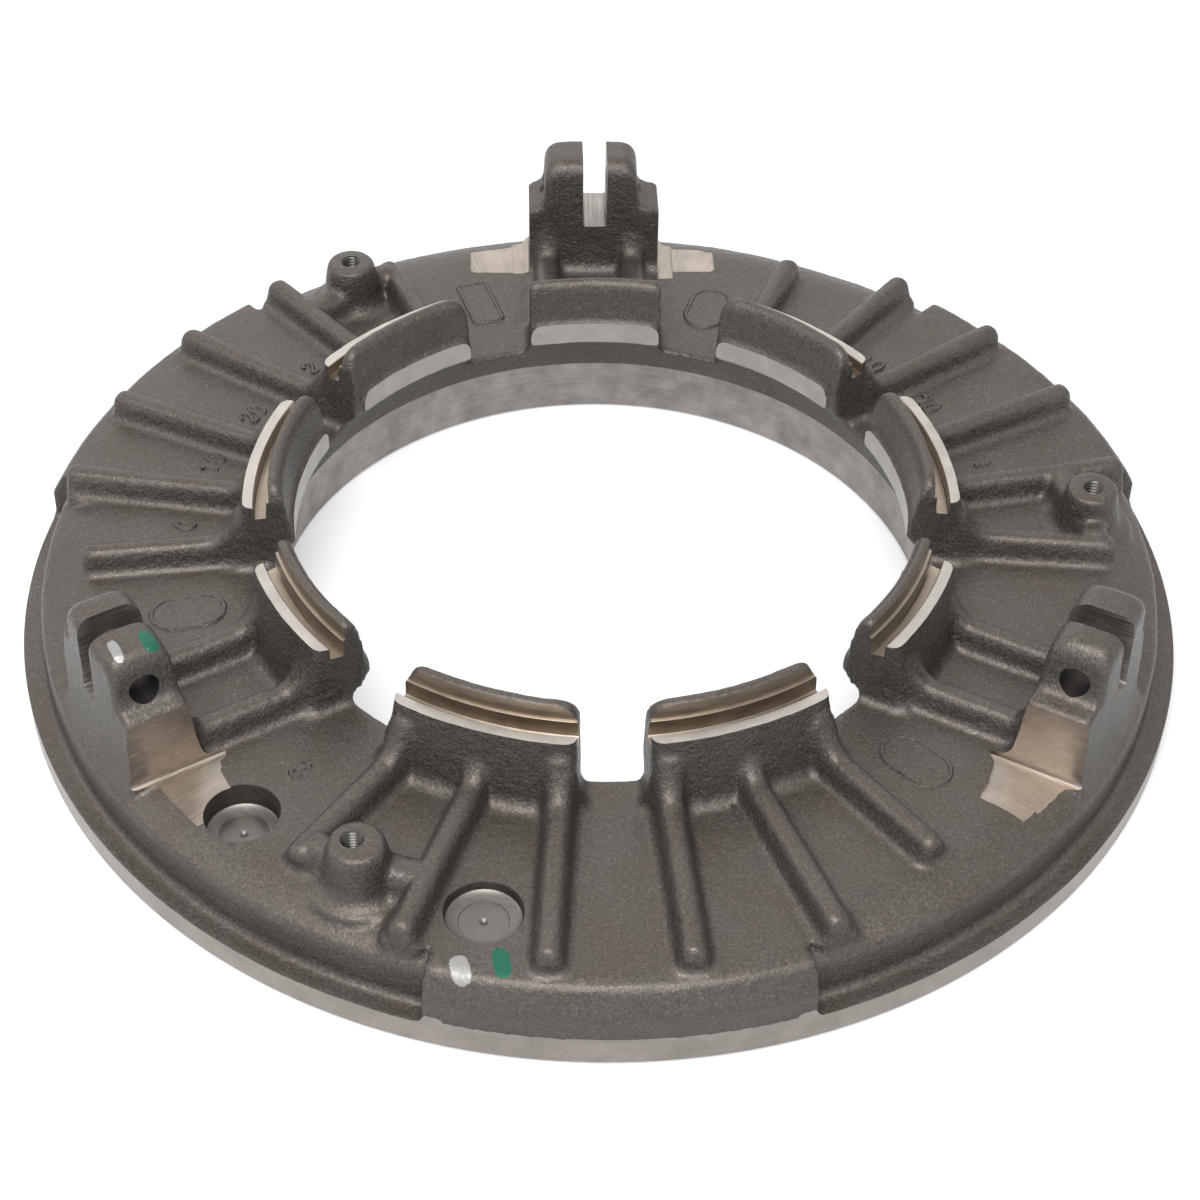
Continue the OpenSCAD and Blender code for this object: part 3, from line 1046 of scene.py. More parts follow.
@dataclass
class Rib:
    """A straight rib that stands on the floor. Sizes in millimetres."""

    root: Point2
    heading: float
    length: float
    height: float = 7.0
    climb: float = 9.0
    run: float = 8.5
    end_round: float = 2.8
    flare: float = 0.38
    flare_run: float = 5.5
    landing: float = 0.0
    landing_run: float = 5.0
    half_foot: float = 5.6
    root_lap: float = 3.0
    tip: float = 7.0
    margin: float = 1.2

    FOOT_Z = 17.0
    SHAPE = ((1.08, 0.0), (0.91, 0.035), (0.78, 0.12), (0.70, 0.26), (0.645, 0.45),
             (0.59, 0.64), (0.51, 0.80), (0.40, 0.915), (0.25, 0.98), (0.08, 1.0))

    def height_at(self, s: float) -> float:
        """Height of the rib at a distance from its root.

        Args:
            s: Distance from the root, along the rib.

        Returns:
            Height above the cast floor.
        """
        left = self.length - s
        height = self.height + self.climb * max(1 - max(s, 0.0) / self.run, 0.0) ** 2
        height += self.landing * max(1 - max(left, 0.0) / self.landing_run, 0.0) ** 2
        return height - rounding(self.end_round, max(left, 0.0)) if self.end_round else height

    def width_at(self, s: float) -> float:
        """Share of its full width that the rib has at a distance from its root.

        Args:
            s: Distance from the root, along the rib.

        Returns:
            The share.
        """
        left = max(self.length - s, 0.0)
        wide = 1 + self.flare * max(1 - max(s, 0.0) / self.flare_run, 0.0) ** 2
        if self.landing > 0:
            wide += 0.4 * max(1 - left / 4.0, 0.0) ** 2
        if self.end_round > 0:
            wide *= 1 - 0.5 * rounding(3.0, left) / 3.0
        return wide

    def cast(self) -> Solid:
        """The raw rib.

        Returns:
            The closed form in the frame of its seat.
        """
        stations = list(np.arange(-self.root_lap, self.length - self.tip, 1.0))
        stations += list(np.linspace(self.length - self.tip, self.length, 15))
        rings = []
        for s in map(float, stations):
            height = self.height_at(s)
            half = self.half_foot * self.width_at(s)
            right = [(half * w, FLOOR_Z + height * h) for w, h in self.SHAPE]
            wide = half * self.SHAPE[0][0]
            section = [(-wide, self.FOOT_Z), (wide, self.FOOT_Z)]
            section += right + [(-y, z) for y, z in reversed(right)]
            rings.append([self.at(s, y) + (z,) for y, z in section])
        return loft(rings)

    def at(self, s: float, y: float) -> Point2:
        """A point beside the rib, in the plan of its seat.

        Args:
            s: Distance from the root, along the rib.
            y: Distance from its middle line.

        Returns:
            The point.
        """
        a = math.radians(self.heading)
        return (self.root[0] + s * math.cos(a) - y * math.sin(a),
                self.root[1] + s * math.sin(a) + y * math.cos(a))

    def region(self, start_x: float, end_x: float | None = None) -> Solid:
        """The share of the casting that belongs to this rib.

        Args:
            start_x: Where the region starts, along the radius of the seat.
            end_x: Where it ends, or None to end past the rib's own end.

        Returns:
            The region in the frame of its seat.
        """
        half = self.half_foot + self.margin
        a = math.radians(self.heading)
        plan: Outline = []
        for y in (-half, half):
            s = (start_x - self.root[0] + y * math.sin(a)) / math.cos(a)
            plan.append(self.at(s, y))
        for y in (half, -half):
            if end_x is None:
                s = self.length + 1.2
            else:
                s = (end_x - self.root[0] + y * math.sin(a)) / math.cos(a)
            plan.append(self.at(s, y))
        return upright(plan, PART_Z, 58.0)


@dataclass
class RibFan:
    """The ribs behind one seat: three that spread, or a pair that ties in a lug."""

    angle: float
    number: int
    root_x: float = 97.2
    offset: float = 21.0
    spread: float = 16.0
    long_r: float = 152.8
    short_r: float = 142.0
    middle_r: float = 152.3
    start_x: float = 103.2
    lug_start_x: float = 126.8

    @property
    def ties_lug(self) -> bool:
        """Whether a lug stands behind this seat."""
        return self.number % 3 == 0

    @property
    def pad_side(self) -> int:
        """The side on which the rim pad lies, 1 or -1."""
        return 1 if self.number % 3 == 1 else -1

    def ribs(self) -> list[Rib]:
        """The ribs in the frame of their seat.

        Returns:
            Two or three ribs.
        """
        if self.ties_lug:
            return [Rib((self.root_x, y), 0.0, 34.4, end_round=0.0, landing=9.0)
                    for y in (12.9, -13.5)]
        found = [Rib((self.root_x, 0.0), 0.0, self.middle_r - self.root_x)]
        for side in (-1, 1):
            root = (self.root_x, side * self.offset)
            a = math.radians(side * self.spread)
            along = root[0] * math.cos(a) + root[1] * math.sin(a)
            on_pad = side == self.pad_side
            end_r = self.long_r if on_pad else self.short_r
            length = -along + math.sqrt(along**2 - root[0] ** 2 - root[1] ** 2 + end_r**2)
            found.append(Rib(root, side * self.spread, length))
        return found

    def cast(self) -> list[Solid]:
        """The raw ribs in the frame of the plate."""
        return [rib.cast().turned(self.angle) for rib in self.ribs()]

    def region(self, workshop: Workshop) -> bpy.types.Object:
        """The share of the casting that belongs to these ribs.

        Args:
            workshop: The maker of objects.

        Returns:
            The regions as one object.
        """
        end_x = self.lug_start_x if self.ties_lug else None
        regions = [rib.region(self.start_x, end_x).turned(self.angle) for rib in self.ribs()]
        return workshop.make("region", regions)


@dataclass
class SpotFace:
    """A milled face on the floor beside a lug, in stretches that the cutter left."""

    flank: float
    side: int
    stretches: list[tuple[Outline, float]]


def plain_spot_face(flank: float, side: int, first: float, second: float, end: float,
                    near_in: float) -> SpotFace:
    """A spot face in three stretches with straight edges, in the frame of a seat.

    Args:
        flank: Place of the milled flank, across the radius.
        side: Side of the lug on which it lies, 1 or -1.
        first: Where the first stretch ends.
        second: Where the second stretch ends.
        end: Where the face ends.
        near_in: Inner edge of the first stretch, along the radius.

    Returns:
        The face.
    """
    inner, outer = 128.8, 145.6
    near: Outline = [(near_in, flank), (near_in + 0.3, first), (151.0, first),
                     (153.0, flank + side * 1.5), (153.0, flank)]
    lap = side * 0.03
    middle: Outline = [(inner, first - lap), (inner, second), (outer, second),
                       (outer + 0.2, first - lap)]
    far: Outline = [(inner, second - lap), (inner, end - side * 1.4), (inner + 1.2, end),
                    (outer - 1.8, end), (outer - 0.3, end - side * 1.6), (outer, second - lap)]
    return SpotFace(flank, side, [(near, -0.7), (middle, 0.0), (far, -0.08)])


@dataclass
class LeverLug:
    """A lug with two ears for a release lever. Sizes in millimetres."""

    angle: float
    number: int
    pin_x: float = 140.8
    pin_z: float = 50.5
    pin_d: float = 8.0
    ear_z: float = 60.95
    ear_a: float = 13.5
    ear_b: float = -14.9
    ear_round: float = 5.0
    shoulder_round: float = 2.8
    shoulder_fall: float = 1.0
    ear_lean: float = 0.7
    shoulder_fillet: float = 3.2
    outer_r: float = 150.0
    slot_a: float = 1.8
    slot_b: float = -5.6
    slot_z: float = 39.5
    flank_a: float = 18.5
    flank_b: float = -21.8
    shoulder_z: float = 45.6
    spot_z: float = 23.3
    stock: float = 1.3

    def cast(self) -> list[Solid]:
        """The raw lug: a broad foot, the block of both ears and the fillets between them.

        Returns:
            The closed forms.
        """
        ear: Outline = [(130.6, 30.0), (150.4, 30.0), (149.9, 41.0), (149.4, 53.0)]
        ear += arc((145.1, self.ear_z - 4.3), 4.3, 4, 90, 6)
        ear += arc((137.8, self.ear_z - 5.5), 5.5, 90, 176, 6)
        ear += [(132.1, 53.0), (131.5, 45.6), (131.3, 41.0)]
        foot: Outline = [(125.8, 19.5), (152.4, 19.5), (152.2, 21.2), (151.3, 22.8),
                         (150.8, 24.5), (150.6, 27.0), (150.3, 36.0), (149.5, self.shoulder_z),
                         (131.7, self.shoulder_z), (131.4, 41.0), (131.0, 36.0), (130.4, 31.0),
                         (129.9, 27.6), (129.4, 26.0), (128.5, 24.9), (127.0, 24.15),
                         (125.8, FLOOR_Z)]
        raw_a, raw_b = self.flank_a + self.stock, self.flank_b - self.stock
        lean = self.ear_lean
        solids = [self._across(ear, (self.ear_b, self.ear_a), self.shoulder_z, self.ear_round,
                               lean=lean),
                  self._across(foot, (raw_b, raw_a), 30.0, self.shoulder_round,
                               fall=self.shoulder_fall)]
        r = self.shoulder_fillet
        for edge, side in ((self.ear_a + lean, 1), (self.ear_b - lean, -1)):
            fillet = [(edge + side * y, self.shoulder_z - 0.1 + z)
                      for y, z in [(-1.5, -1.0), (r, -1.0)] + arc((r, r), r, 270, 180, 5)
                      + [(-1.5, r)]]
            solids.append(along_x(fillet, 133.0, 148.2))
        return [s.turned(self.angle) for s in solids]

    def _across(self, profile: Outline, reach: Point2, base: float, corner: float,
                lean: float = 0.0, fall: float = 0.0) -> Solid:
        """A block that runs across the lug, with round ends and a round outer side.

        Args:
            profile: Outline of radius and height.
            reach: Where the block starts and ends, across the radius.
            base: Height above which its ends are round.
            corner: Radius of the upper corners at its ends.
            lean: How much further each end reaches at the base than at the top.
            fall: How far its top has fallen at both ends.

        Returns:
            The closed form.
        """
        middle, half = (reach[0] + reach[1]) / 2, (reach[1] - reach[0]) / 2
        top = max(z for _, z in profile)
        rings = []
        for share in crowded(40):
            from_end = (1 - abs(share)) * half
            drop = rounding(corner, from_end) + fall * max(1 - from_end / 6.3, 0.0)
            squeeze = 1 - drop / (top - base)
            inset = rounding(1.4, from_end)
            y = middle + share * half
            bow = self.outer_r - math.sqrt(self.outer_r**2 - y**2)
            ring = []
            for x, z in profile:
                shift = inset if x < self.pin_x else -inset - bow
                wide = share * lean * (top - max(z, base)) / (top - base)
                ring.append((x + shift, y + wide,
                             base + (z - base) * squeeze if z > base else z))
            rings.append(ring)
        return loft(rings)

    def slot(self) -> Solid:
        """The milled slot for the lever.

        Returns:
            The closed form that the cutter sweeps.
        """
        half = (self.slot_a - self.slot_b) / 2
        middle = (self.slot_a + self.slot_b) / 2
        outline: Outline = [(middle + half, 64.0), (middle - half, 64.0),
                            (middle - half, self.slot_z + 0.5), (middle - half + 0.5, self.slot_z),
                            (middle + half - 0.5, self.slot_z), (middle + half, self.slot_z + 0.5)]
        return along_x(outline, 124.0, 158.0, Skin.SLOT).turned(self.angle)

    def spot_faces(self) -> list[SpotFace]:
        """The milled faces on both sides of the lug.

        Returns:
            The face on the anticlockwise side and the one on the clockwise side.
        """
        a, b = self.flank_a, self.flank_b
        faces = [plain_spot_face(a, 1, 23.8, 32.6, 37.1, 128.1),
                 plain_spot_face(b, -1, -26.8, -33.7, -40.0, 125.0)]
        if self.number == 2:
            near: Outline = [(123.6, a), (124.4, 20.6), (126.4, 21.4), (126.7, 23.1),
                             (127.6, 24.0), (127.9, 30.2), (129.5, 38.2), (143.6, 38.3),
                             (144.9, 37.0), (144.6, 35.0), (145.7, 33.6), (145.3, 31.0),
                             (145.8, 29.3), (145.1, 27.6), (146.7, 26.5), (147.0, 25.0),
                             (149.7, 23.4), (151.2, 21.6), (153.0, 20.4), (153.0, a)]
            faces[0] = SpotFace(a, 1, [(near, 0.0)])
        if self.number == 3:
            near = [(124.6, b), (125.2, -23.4), (126.9, -25.0), (127.2, -28.0), (127.9, -30.5),
                    (127.7, -35.5), (143.8, -35.5), (144.2, -32.5), (143.9, -31.0),
                    (144.9, -29.0), (146.6, -27.6), (149.2, -25.8), (150.4, -24.6),
                    (153.0, -24.0), (153.0, b)]
            far: Outline = [(127.8, -35.4), (128.0, -37.2), (128.5, -38.9), (134.0, -39.3),
                            (142.2, -40.3), (143.5, -39.0), (143.9, -35.4)]
            faces[1] = SpotFace(b, -1, [(near, -0.7), (far, -0.4)])
        return faces

    def milling(self, stretch: int) -> list[Solid]:
        """The milling cuts of one stretch of the spot faces, the first with the flanks.

        Args:
            stretch: Number of the stretch, from 0.

        Returns:
            A closed form for each side that has this stretch.
        """
        cuts = []
        for face in self.spot_faces():
            if stretch >= len(face.stretches):
                continue
            outline, lift = face.stretches[stretch]
            z = self.spot_z + lift
            rings = []
            for height, inset in ((z, 0.9), (z + 0.26, 0.26), (z + 0.9, 0.0), (66.0, 0.0)):
                rings.append([(x, y + face.side * inset if y == face.flank else y, height)
                              for x, y in outline])
            cuts.append(loft(rings, Skin.MILLED).turned(self.angle))
        return cuts

    def pin_bore(self) -> Solid:
        """The drilled bore of the lever pin.

        Returns:
            The closed form that the drill sweeps.
        """
        rings = []
        for y in (-26.0, 26.0):
            rings.append([(self.pin_x + x, y, self.pin_z + z)
                          for x, z in arc((0.0, 0.0), self.pin_d / 2, 0, 352.5, 47)])
        return loft(rings, Skin.PIN_BORE).turned(self.angle)

    def region(self, workshop: Workshop) -> bpy.types.Object:
        """The share of the casting that belongs to this lug.

        Args:
            workshop: The maker of objects.

        Returns:
            The region as an object.
        """
        start, end, margin = RibFan.lug_start_x, 152.4, 1.4
        plan: Outline = [(start, self.flank_b - margin), (end, self.flank_b - margin),
                         (end, self.flank_a + margin), (start, self.flank_a + margin)]
        return workshop.make("region", [upright(plan, PART_Z, 70.0).turned(self.angle)])


@dataclass
class TappedBoss:
    """A small round boss with a tapped hole and two webs. Sizes in millimetres."""

    seat_angle: float
    number: int
    shift: Point2 = (0.0, 0.0)
    pitch_r: float = 136.9
    lag: float = -7.6
    top_z: float = 37.7
    top_r: float = 6.9
    foot_r: float = 8.3
    thread_r: float = 3.0
    thread_pitch: float = 1.0
    depth: float = 12.0
    region_r: float = 13.6

    @property
    def centre(self) -> Point2:
        """The middle of the hole in the frame of its seat."""
        a = math.radians(self.lag)
        return (self.pitch_r * math.cos(a), self.pitch_r * math.sin(a))

    def cast(self) -> list[Solid]:
        """The raw boss and its webs.

        Returns:
            The closed forms.
        """
        x, y = self.centre
        foot, top = self.foot_r, self.top_z
        profile: Outline = [(foot + 4.6, 19.0), (foot + 4.6, 23.9), (foot + 2.9, 24.25),
                            (foot + 1.5, 25.1), (foot + 0.6, 26.4), (foot + 0.1, 28.2),
                            (self.top_r + 0.6, 35.2), (self.top_r + 0.15, 36.9),
                            (self.top_r - 0.5, 37.6), (self.top_r - 1.3, top + 0.05)]
        cone = turned_form(profile, 48).moved(x + self.shift[0], y + self.shift[1])
        inner = Rib((x - 2.0, y), 90.0, -y, height=7.2, climb=3.0, end_round=0.0, flare=0.0,
                    half_foot=7.6)
        outer = Rib((x + 0.5, y), -106.0, 12.5, height=8.0, climb=3.0, end_round=0.0, flare=0.0,
                    half_foot=6.6)
        return [s.turned(self.seat_angle) for s in (cone, inner.cast(), outer.cast())]

    def thread(self) -> Solid:
        """The tapped hole as a closed form with a real screw thread.

        Returns:
            The closed form that a tap sweeps.
        """
        x, y = self.centre
        around, rise = 48, 0.125
        minor = self.thread_r - 0.54 * self.thread_pitch
        low = self.top_z - self.depth
        mouth = 0.3
        rings = []
        for k in range(int((self.depth + 1.5) / rise) + 1):
            z = low + k * rise
            lead = min(max((z - (self.top_z - mouth)) / mouth, 0.0), 1.0)
            ring = []
            for i in range(around):
                phase = (z / self.thread_pitch - i / around) % 1.0
                depth = 1.0 - abs(2.0 * phase - 1.0)
                r = minor + (self.thread_r - minor) * min(depth * 1.25, 1.0)
                r = max(r, minor + 0.35 * lead)
                a = 2 * math.pi * i / around
                ring.append((x + r * math.cos(a), y + r * math.sin(a), z))
            rings.append(ring)
        return loft(rings, Skin.THREAD).turned(self.seat_angle)

    def region(self, workshop: Workshop, ribs: RibFan) -> bpy.types.Object:
        """The share of the casting that belongs to this boss, beside its ribs.

        Args:
            workshop: The maker of objects.
            ribs: The ribs that keep their own share.

        Returns:
            The region as an object.
        """
        x, y = self.centre
        r = self.region_r
        plan = arc((x, y), r, 180, 360, 24) + arc((x, y + 9.0), r, 0, 180, 24)
        region = workshop.make("region", [upright(plan, PART_Z, 55.0).turned(self.seat_angle)])
        beside = ribs.region(workshop)
        workshop.combine(region, beside, "DIFFERENCE")
        workshop.drop(beside)
        return region


@dataclass
class BalanceHole:
    """A drilled hole that takes weight off the ring, with ring marks on its floor."""

    angle: float
    radius: float
    depth: float
    hole_r: float = 9.5
    flat_r: float = 6.1

    def cutter(self) -> Solid:
        """The closed form that the drill sweeps, with its centre mark.

        Returns:
            The closed form.
        """
        low = FLOOR_Z - self.depth
        profile: Outline = [(0.05, low - 0.6), (0.7, low - 0.2), (1.1, low)]
        for k in range(4):
            profile += [(1.8 + 1.0 * k, low + 0.06), (2.3 + 1.0 * k, low)]
        profile += [(self.flat_r, low), (self.flat_r + 0.15, low + 0.2),
                    (self.hole_r - 1.0, low + 0.5), (self.hole_r - 0.2, low + 1.0),
                    (self.hole_r, low + 1.5),
                    (self.hole_r, FLOOR_Z - 0.5), (self.hole_r + 0.35, FLOOR_Z + 0.1),
                    (self.hole_r + 0.35, 30.0)]
        hole = turned_form(profile, 96, Skin.DRILLED)
        return hole.moved(self.radius, 0.0).turned(self.angle)


@dataclass
class Casting:
    """The whole plate: cast, machined and parted into the regions of the frame."""

    ring: Ring = field(default_factory=Ring)
    marks: RaisedMarks = field(default_factory=RaisedMarks)
    seats: list[SpringSeat] = field(default_factory=list)
    fans: list[RibFan] = field(default_factory=list)
    lugs: list[LeverLug] = field(default_factory=list)
    bosses: list[TappedBoss] = field(default_factory=list)
    holes: list[BalanceHole] = field(default_factory=list)
    first_seat: float = 10.0
    seat_pitch: float = 40.0
    voxel: float = 0.83 * MM
    quick_voxel: float = 1.1 * MM
    smoothing: int = 3
    top_z: float = 60.95 * MM
    guarded_r: float = 159.6 * MM
    wave_count: int = 7
    waves: tuple[Point2, ...] = ((26.0, 0.050), (11.0, 0.022), (5.0, 0.014), (2.7, 0.016))

    PATCHES = {2: (-12.8, 14.2), 4: (-14.2, 12.8)}
    PATCH = (-14.2, 14.2)
    NARROW_PATCH = (-12.6, 12.6)

    def __post_init__(self) -> None:
        """Places the seats, ribs, lugs, bosses and holes round the ring."""
        for number in range(1, 10):
            angle = self.first_seat + self.seat_pitch * (number - 1)
            narrow = number % 3 == 0
            low, high = self.NARROW_PATCH if narrow else self.PATCHES.get(number, self.PATCH)
            self.seats.append(SpringSeat(angle, low, high, narrow))
            self.fans.append(RibFan(angle, number))
        for number in range(1, 4):
            self.lugs.append(LeverLug(self.seats[3 * number - 1].angle, number))
            shift = (0.3, 1.3) if number == 3 else (0.0, 0.3)
            self.bosses.append(TappedBoss(self.seats[3 * number - 3].angle, number, shift))
        self.holes = [BalanceHole(227.2, 135.7, 8.0), BalanceHole(256.35, 136.5, 3.6)]

    def pour(self, workshop: Workshop) -> bpy.types.Object:
        """Casts the plate: one skin over all raw forms, softened as sand leaves it.

        Args:
            workshop: The maker of objects.

        Returns:
            The raw casting.
        """
        solids = self.ring.cast()
        for piece in (*self.seats, *self.fans, *self.lugs, *self.bosses):
            solids += piece.cast()
        raw = workshop.make("casting", solids)
        skin = raw.modifiers.new("skin", "REMESH")
        skin.mode = "VOXEL"
        skin.voxel_size = self.voxel
        soften = raw.modifiers.new("soften", "SMOOTH")
        soften.factor = 0.5
        soften.iterations = self.smoothing
        workshop.settle(raw)
        self._ripple(raw)
        for material in workshop.materials[len(raw.data.materials):]:
            raw.data.materials.append(material)
        workshop.add(raw, self.marks.pads())
        workshop.add(raw, self.marks.lines())
        return raw

    def _ripple(self, raw: bpy.types.Object) -> None:
        """Gives the cast faces the slight waves of a sand mould, below the height of the ears.

        Args:
            raw: The raw casting.
        """
        mesh = raw.data
        co = np.zeros(len(mesh.vertices) * 3)
        mesh.vertices.foreach_get("co", co)
        co = co.reshape(-1, 3)
        normals = np.zeros(len(mesh.vertices) * 3)
        mesh.vertices.foreach_get("normal", normals)
        normals = normals.reshape(-1, 3)
        chance = np.random.default_rng(7)
        height = np.zeros(len(co))
        for wave, depth in self.waves:
            for _ in range(self.wave_count):
                axis = chance.normal(size=3)
                axis /= np.linalg.norm(axis)
                turn = co @ axis * (2 * math.pi / (wave * MM * chance.uniform(0.75, 1.3)))
                height += depth * MM * 0.55 * np.sin(turn + chance.uniform(0, 2 * math.pi))
        radius = np.hypot(co[:, 0], co[:, 1])
        near_rim = np.clip((self.guarded_r - radius) / (2 * MM), 0, 1)
        height *= np.where(normals[:, 2] > 0.5, 1.0, near_rim)
        co += normals * height[:, None]
        co[:, 2] = np.minimum(co[:, 2], self.top_z)
        mesh.vertices.foreach_set("co", co.ravel())
        mesh.update()

    def machine(self, plate: bpy.types.Object, workshop: Workshop) -> None:
        """Turns, mills, drills and taps the casting.

        Args:
            plate: The raw casting.
            workshop: The maker of tools.
        """
        for sweep in (*self.ring.turning(), *self.seats[0].turning()):
            workshop.cut(plate, [sweep])
        for stretch in range(3):
            workshop.cut(plate, [cut for lug in self.lugs for cut in lug.milling(stretch)])
        workshop.cut(plate, [lug.slot() for lug in self.lugs])
        workshop.cut(plate, [lug.pin_bore() for lug in self.lugs])
        workshop.cut(plate, [boss.thread() for boss in self.bosses])
        workshop.cut(plate, [hole.cutter() for hole in self.holes])

    def part_regions(self, plate: bpy.types.Object,
                     workshop: Workshop) -> list[tuple[bpy.types.Object, str, str]]:
        """Parts the plate into the regions of the frame.

        Args:
            plate: The machined casting.
            workshop: The maker of regions.

        Returns:
            For each piece its object, its node and its material slot.
        """
        pieces = []
        for lug in self.lugs:
            name = f"lever_lug_{lug.number}"
            pieces.append((workshop.part(plate, lug.region(workshop), name), name, "lug_iron"))
        for boss in self.bosses:
            name = f"tapped_boss_{boss.number}"
            region = boss.region(workshop, self.fans[3 * boss.number - 3])
            pieces.append((workshop.part(plate, region, name), name, "boss_iron"))
        for fan, seat in zip(self.fans, self.seats):
            name = f"seat_ribs_{fan.number}"
            pieces.append((workshop.part(plate, fan.region(workshop), name), name, "rib_iron"))
            name = f"spring_seat_{fan.number}"
            pieces.append((workshop.part(plate, seat.region(workshop), name), name, "seat_iron"))
        pieces.append((plate, "friction_ring", "ring_iron"))
        return pieces

    def build(self, workshop: Workshop) -> None:
        """Makes the finished plate and hands its pieces to the frame.

        Args:
            workshop: The maker of objects.
        """
        plate = self.pour(workshop)
        LOG.info("cast: %d faces", len(plate.data.polygons))
        self.machine(plate, workshop)
        LOG.info("machined: %d faces", len(plate.data.polygons))
        for piece, node, slot in self.part_regions(plate, workshop):
            piece.name = f"{node}_casting"
            self._shade(piece)
            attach(piece, "root")
            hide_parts(node)
            corners = sum(len(face.vertices) - 2 for face in piece.data.polygons)
            LOG.info("%s: %d faces, %d as triangles", piece.name, len(piece.data.polygons), corners)

    @staticmethod
    def _shade(piece: bpy.types.Object) -> None:
        """Smooth shading that breaks at sharp edges and where two finishes meet.

        Args:
            piece: The piece.
        """
        mesh = piece.data
        mesh.shade_smooth()
        mesh.set_sharp_from_angle(angle=math.radians(34))
        shaper = bmesh.new()
        shaper.from_mesh(mesh)
        for edge in shaper.edges:
            if len({face.material_index for face in edge.link_faces}) > 1:
                edge.smooth = False
        shaper.to_mesh(mesh)
        shaper.free()


@dataclass(frozen=True)
class Softbox:
    """A square lamp that faces the object. Place and side in metres, power in watts."""

    name: str
    place: Point3
    side: float
    power: float

    def hang(self) -> None:
        """Hangs the lamp in the scene."""
        light = bpy.data.lights.new(self.name, "AREA")
        light.size = self.side
        light.energy = self.power
        lamp = bpy.data.objects.new(self.name, light)
        lamp.location = self.place
        lamp.rotation_mode = "QUATERNION"
        lamp.rotation_quaternion = (-Vector(self.place)).to_track_quat("-Z", "Y")
        bpy.context.scene.collection.objects.link(lamp)


@dataclass
class Studio:
    """The floor, the lamps and the camera."""

    camera_at: Point3 = (-23.876, -520.632, 484.273)
    right: Point3 = (0.99938697, -0.03116703, 0.01594687)
    up: Point3 = (0.00946975, 0.67916908, 0.73392076)
    lens: float = 75.06
    floor_size: float = 6.0
    floor_z: float = -0.0002
    floor_glow: float = 0.28
    room_light: float = 0.26
    lamps: tuple[Softbox, ...] = (
        Softbox("top_softbox", (-0.10, -0.62, 1.07), 0.8, 14.0),
        Softbox("back_softbox", (-0.22, 1.25, 0.95), 1.4, 3.8),
        Softbox("side_softbox", (-1.20, 0.20, 0.90), 0.8, 3.0),
    )

    def build(self) -> None:
        """Makes the floor, the lamps and the camera."""
        self._floor()
        self._world()
        for lamp in self.lamps:
            lamp.hang()
        self._camera()

    def _floor(self) -> None:
        """A plain pale floor that keeps the object's shadow."""
        half = self.floor_size / 2
        mesh = bpy.data.meshes.new("floor")
        corners = [(-half, -half), (half, -half), (half, half), (-half, half)]
        mesh.from_pydata([(x, y, self.floor_z) for x, y in corners], [], [(0, 1, 2, 3)])
        floor = bpy.data.objects.new("floor", mesh)
        bpy.context.scene.collection.objects.link(floor)
        build = MaterialBuilder("studio_floor")
        grain = build.noise(build.place(), 40.0, detail=2.0, roughness=0.5)
        shade = build.ramp(grain, [(0.3, 0.985), (0.7, 1.0)])
        build.connect(build.scaled(build.rgb((0.93, 0.93, 0.93)), shade), "Base Color")
        build.set("Roughness", 0.9)
        build.set("Specular IOR Level", 0.0)
        build.connect(build.rgb((1.0, 1.0, 1.0)), "Emission Color")
        build.connect(build.times(build.looked_at(), self.floor_glow), "Emission Strength")
        mesh.materials.append(build.finished)

    def _world(self) -> None:
        """Soft light from all round, and white where the camera or a mirror looks."""
        world = bpy.data.worlds.new("studio")
        bpy.context.scene.world = world
        world.use_nodes = True
        bench = NodeBench(world.node_tree)
        background = next(n for n in bench.nodes if n.type == "BACKGROUND")
        background.inputs["Color"].default_value = (1.0, 1.0, 1.0, 1.0)
        strength = bench.ramp(bench.looked_at(), [(0.0, self.room_light), (1.0, 1.0)])
        bench.links.new(strength, background.inputs["Strength"])

    def _camera(self) -> None:
        """The camera at the photograph's place, which also shows the whole plate."""
        camera = bpy.data.cameras.new("camera")
        camera.lens = self.lens
        camera.sensor_width = 36.0
        camera.clip_start = 0.05
        camera.clip_end = 20.0
        thing = bpy.data.objects.new("camera", camera)
        right, up = Vector(self.right), Vector(self.up)
        back = right.cross(up)
        turn = Matrix((right, up, back)).transposed().to_4x4()
        turn.translation = Vector(self.camera_at) * MM
        thing.matrix_world = turn
        bpy.context.scene.collection.objects.link(thing)
        bpy.context.scene.camera = thing


GREEN_PAINT = (0.012, 0.13, 0.075)
WHITE_PAINT = (0.34, 0.335, 0.32)
SILVER_PAINT = (0.33, 0.33, 0.33)


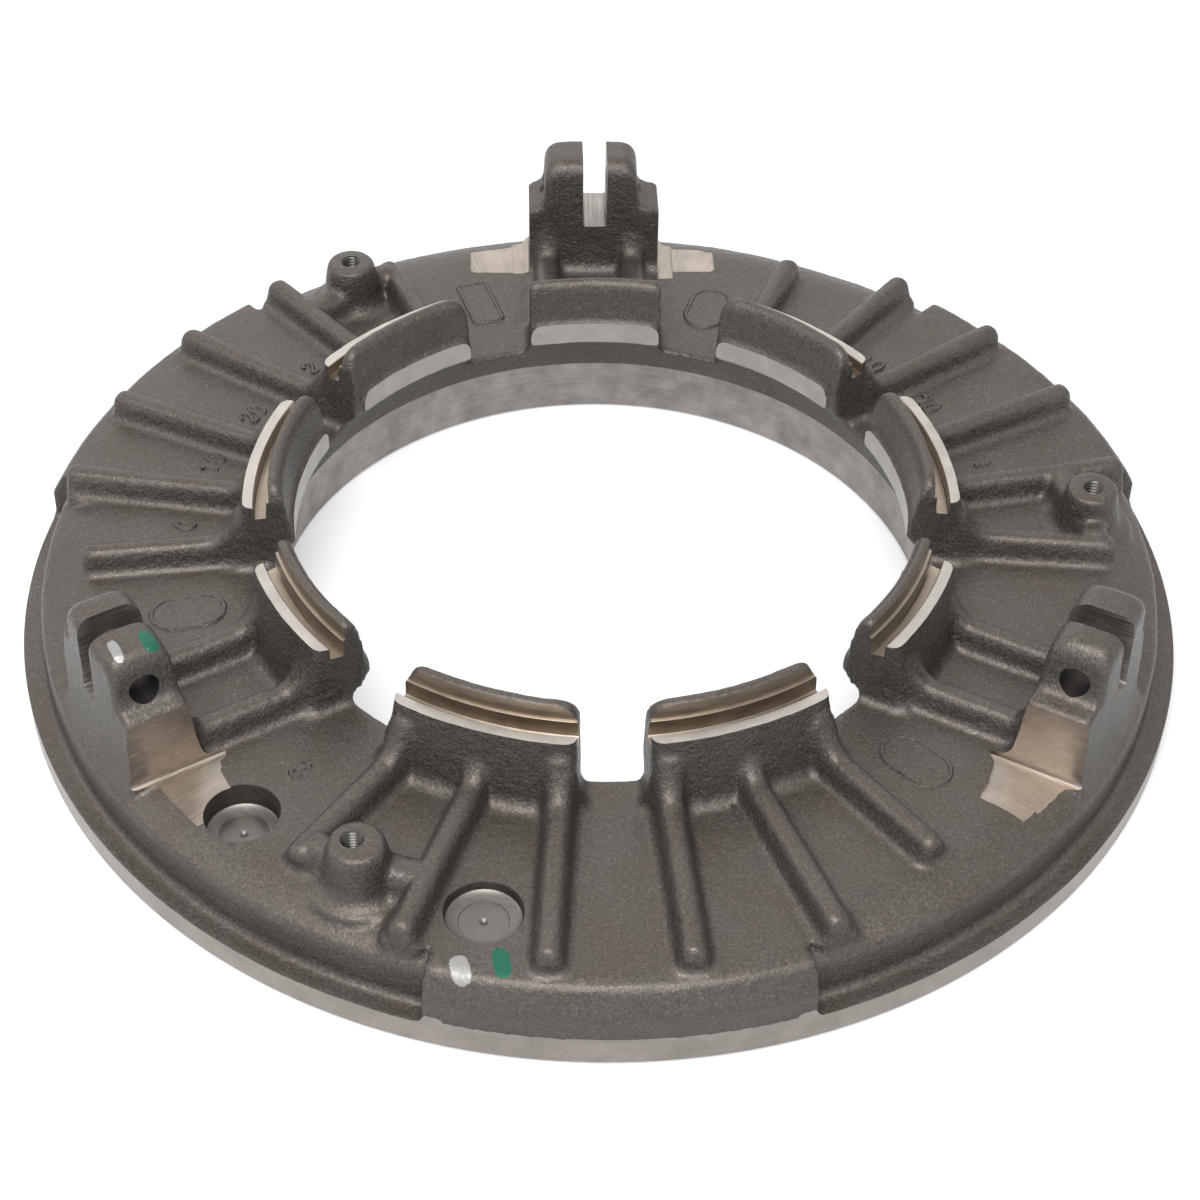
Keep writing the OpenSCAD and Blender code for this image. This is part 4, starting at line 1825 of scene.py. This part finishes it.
def skin_materials() -> list[bpy.types.Material]:
    """The materials of the casting, in the order of Skin.

    Returns:
        One material for each skin.
    """
    dabs = (
        PaintDab((-27.9, -148.0, 24.0), (8.6, 4.2), 100.0, GREEN_PAINT),
        PaintDab((-37.6, -149.5, 23.8), (7.6, 4.6), 105.0, WHITE_PAINT),
        PaintDab((-113.6, -75.6, 60.6), (7.0, 4.0), 120.0, GREEN_PAINT),
        PaintDab((-121.2, -79.6, 59.8), (7.0, 2.6), 118.0, SILVER_PAINT),
    )
    finishes = [
        CastSkin(dabs=dabs),
        CutIron("turned_rim", (0.27, 0.245, 0.225), 0.36, Lay.ROUND, pitch=0.5 * MM),
        CutIron("turned_land", (0.46, 0.43, 0.395), 0.34, Lay.ROUND, pitch=0.4 * MM),
        CutIron("turned_bore", (0.275, 0.255, 0.24), 0.34, Lay.ROUND, pitch=0.8 * MM, stain=0.2),
        CutIron("turned_patch", (0.34, 0.325, 0.31), 0.38, Lay.ROUND, pitch=0.6 * MM),
        CutIron("milled_iron", (0.385, 0.335, 0.29), 0.36, Lay.RADIAL, pitch=0.6 * MM,
                contrast=0.16),
        CutIron("milled_slot", (0.36, 0.335, 0.31), 0.40, Lay.RADIAL, pitch=0.7 * MM,
                contrast=0.34),
        CutIron("drilled_iron", (0.18, 0.165, 0.152), 0.38, Lay.ROUND, pitch=0.6 * MM),
        # Painted shade: the tapped hole's iron is given a much darker colour than the other cut
        # faces, standing in for the shade deep in the thread.
        CutIron("tapped_iron", (0.09, 0.085, 0.08), 0.34, Lay.ROUND, pitch=0.3 * MM),
        CutIron("grooved_iron", (0.36, 0.305, 0.25), 0.38, Lay.ROUND, pitch=0.4 * MM),
        CutIron("pin_bore_iron", (0.09, 0.082, 0.078), 0.50, Lay.ROUND, pitch=0.5 * MM),
    ]
    return [finish.material() for finish in finishes]


def main() -> None:
    """Builds the plate and the studio."""
    logging.basicConfig(level=logging.INFO, format="%(message)s")
    bpy.context.scene.view_settings.view_transform = "Standard"
    workshop = Workshop(skin_materials())
    Casting().build(workshop)
    Studio().build()


if __name__ == "__main__":
    main()
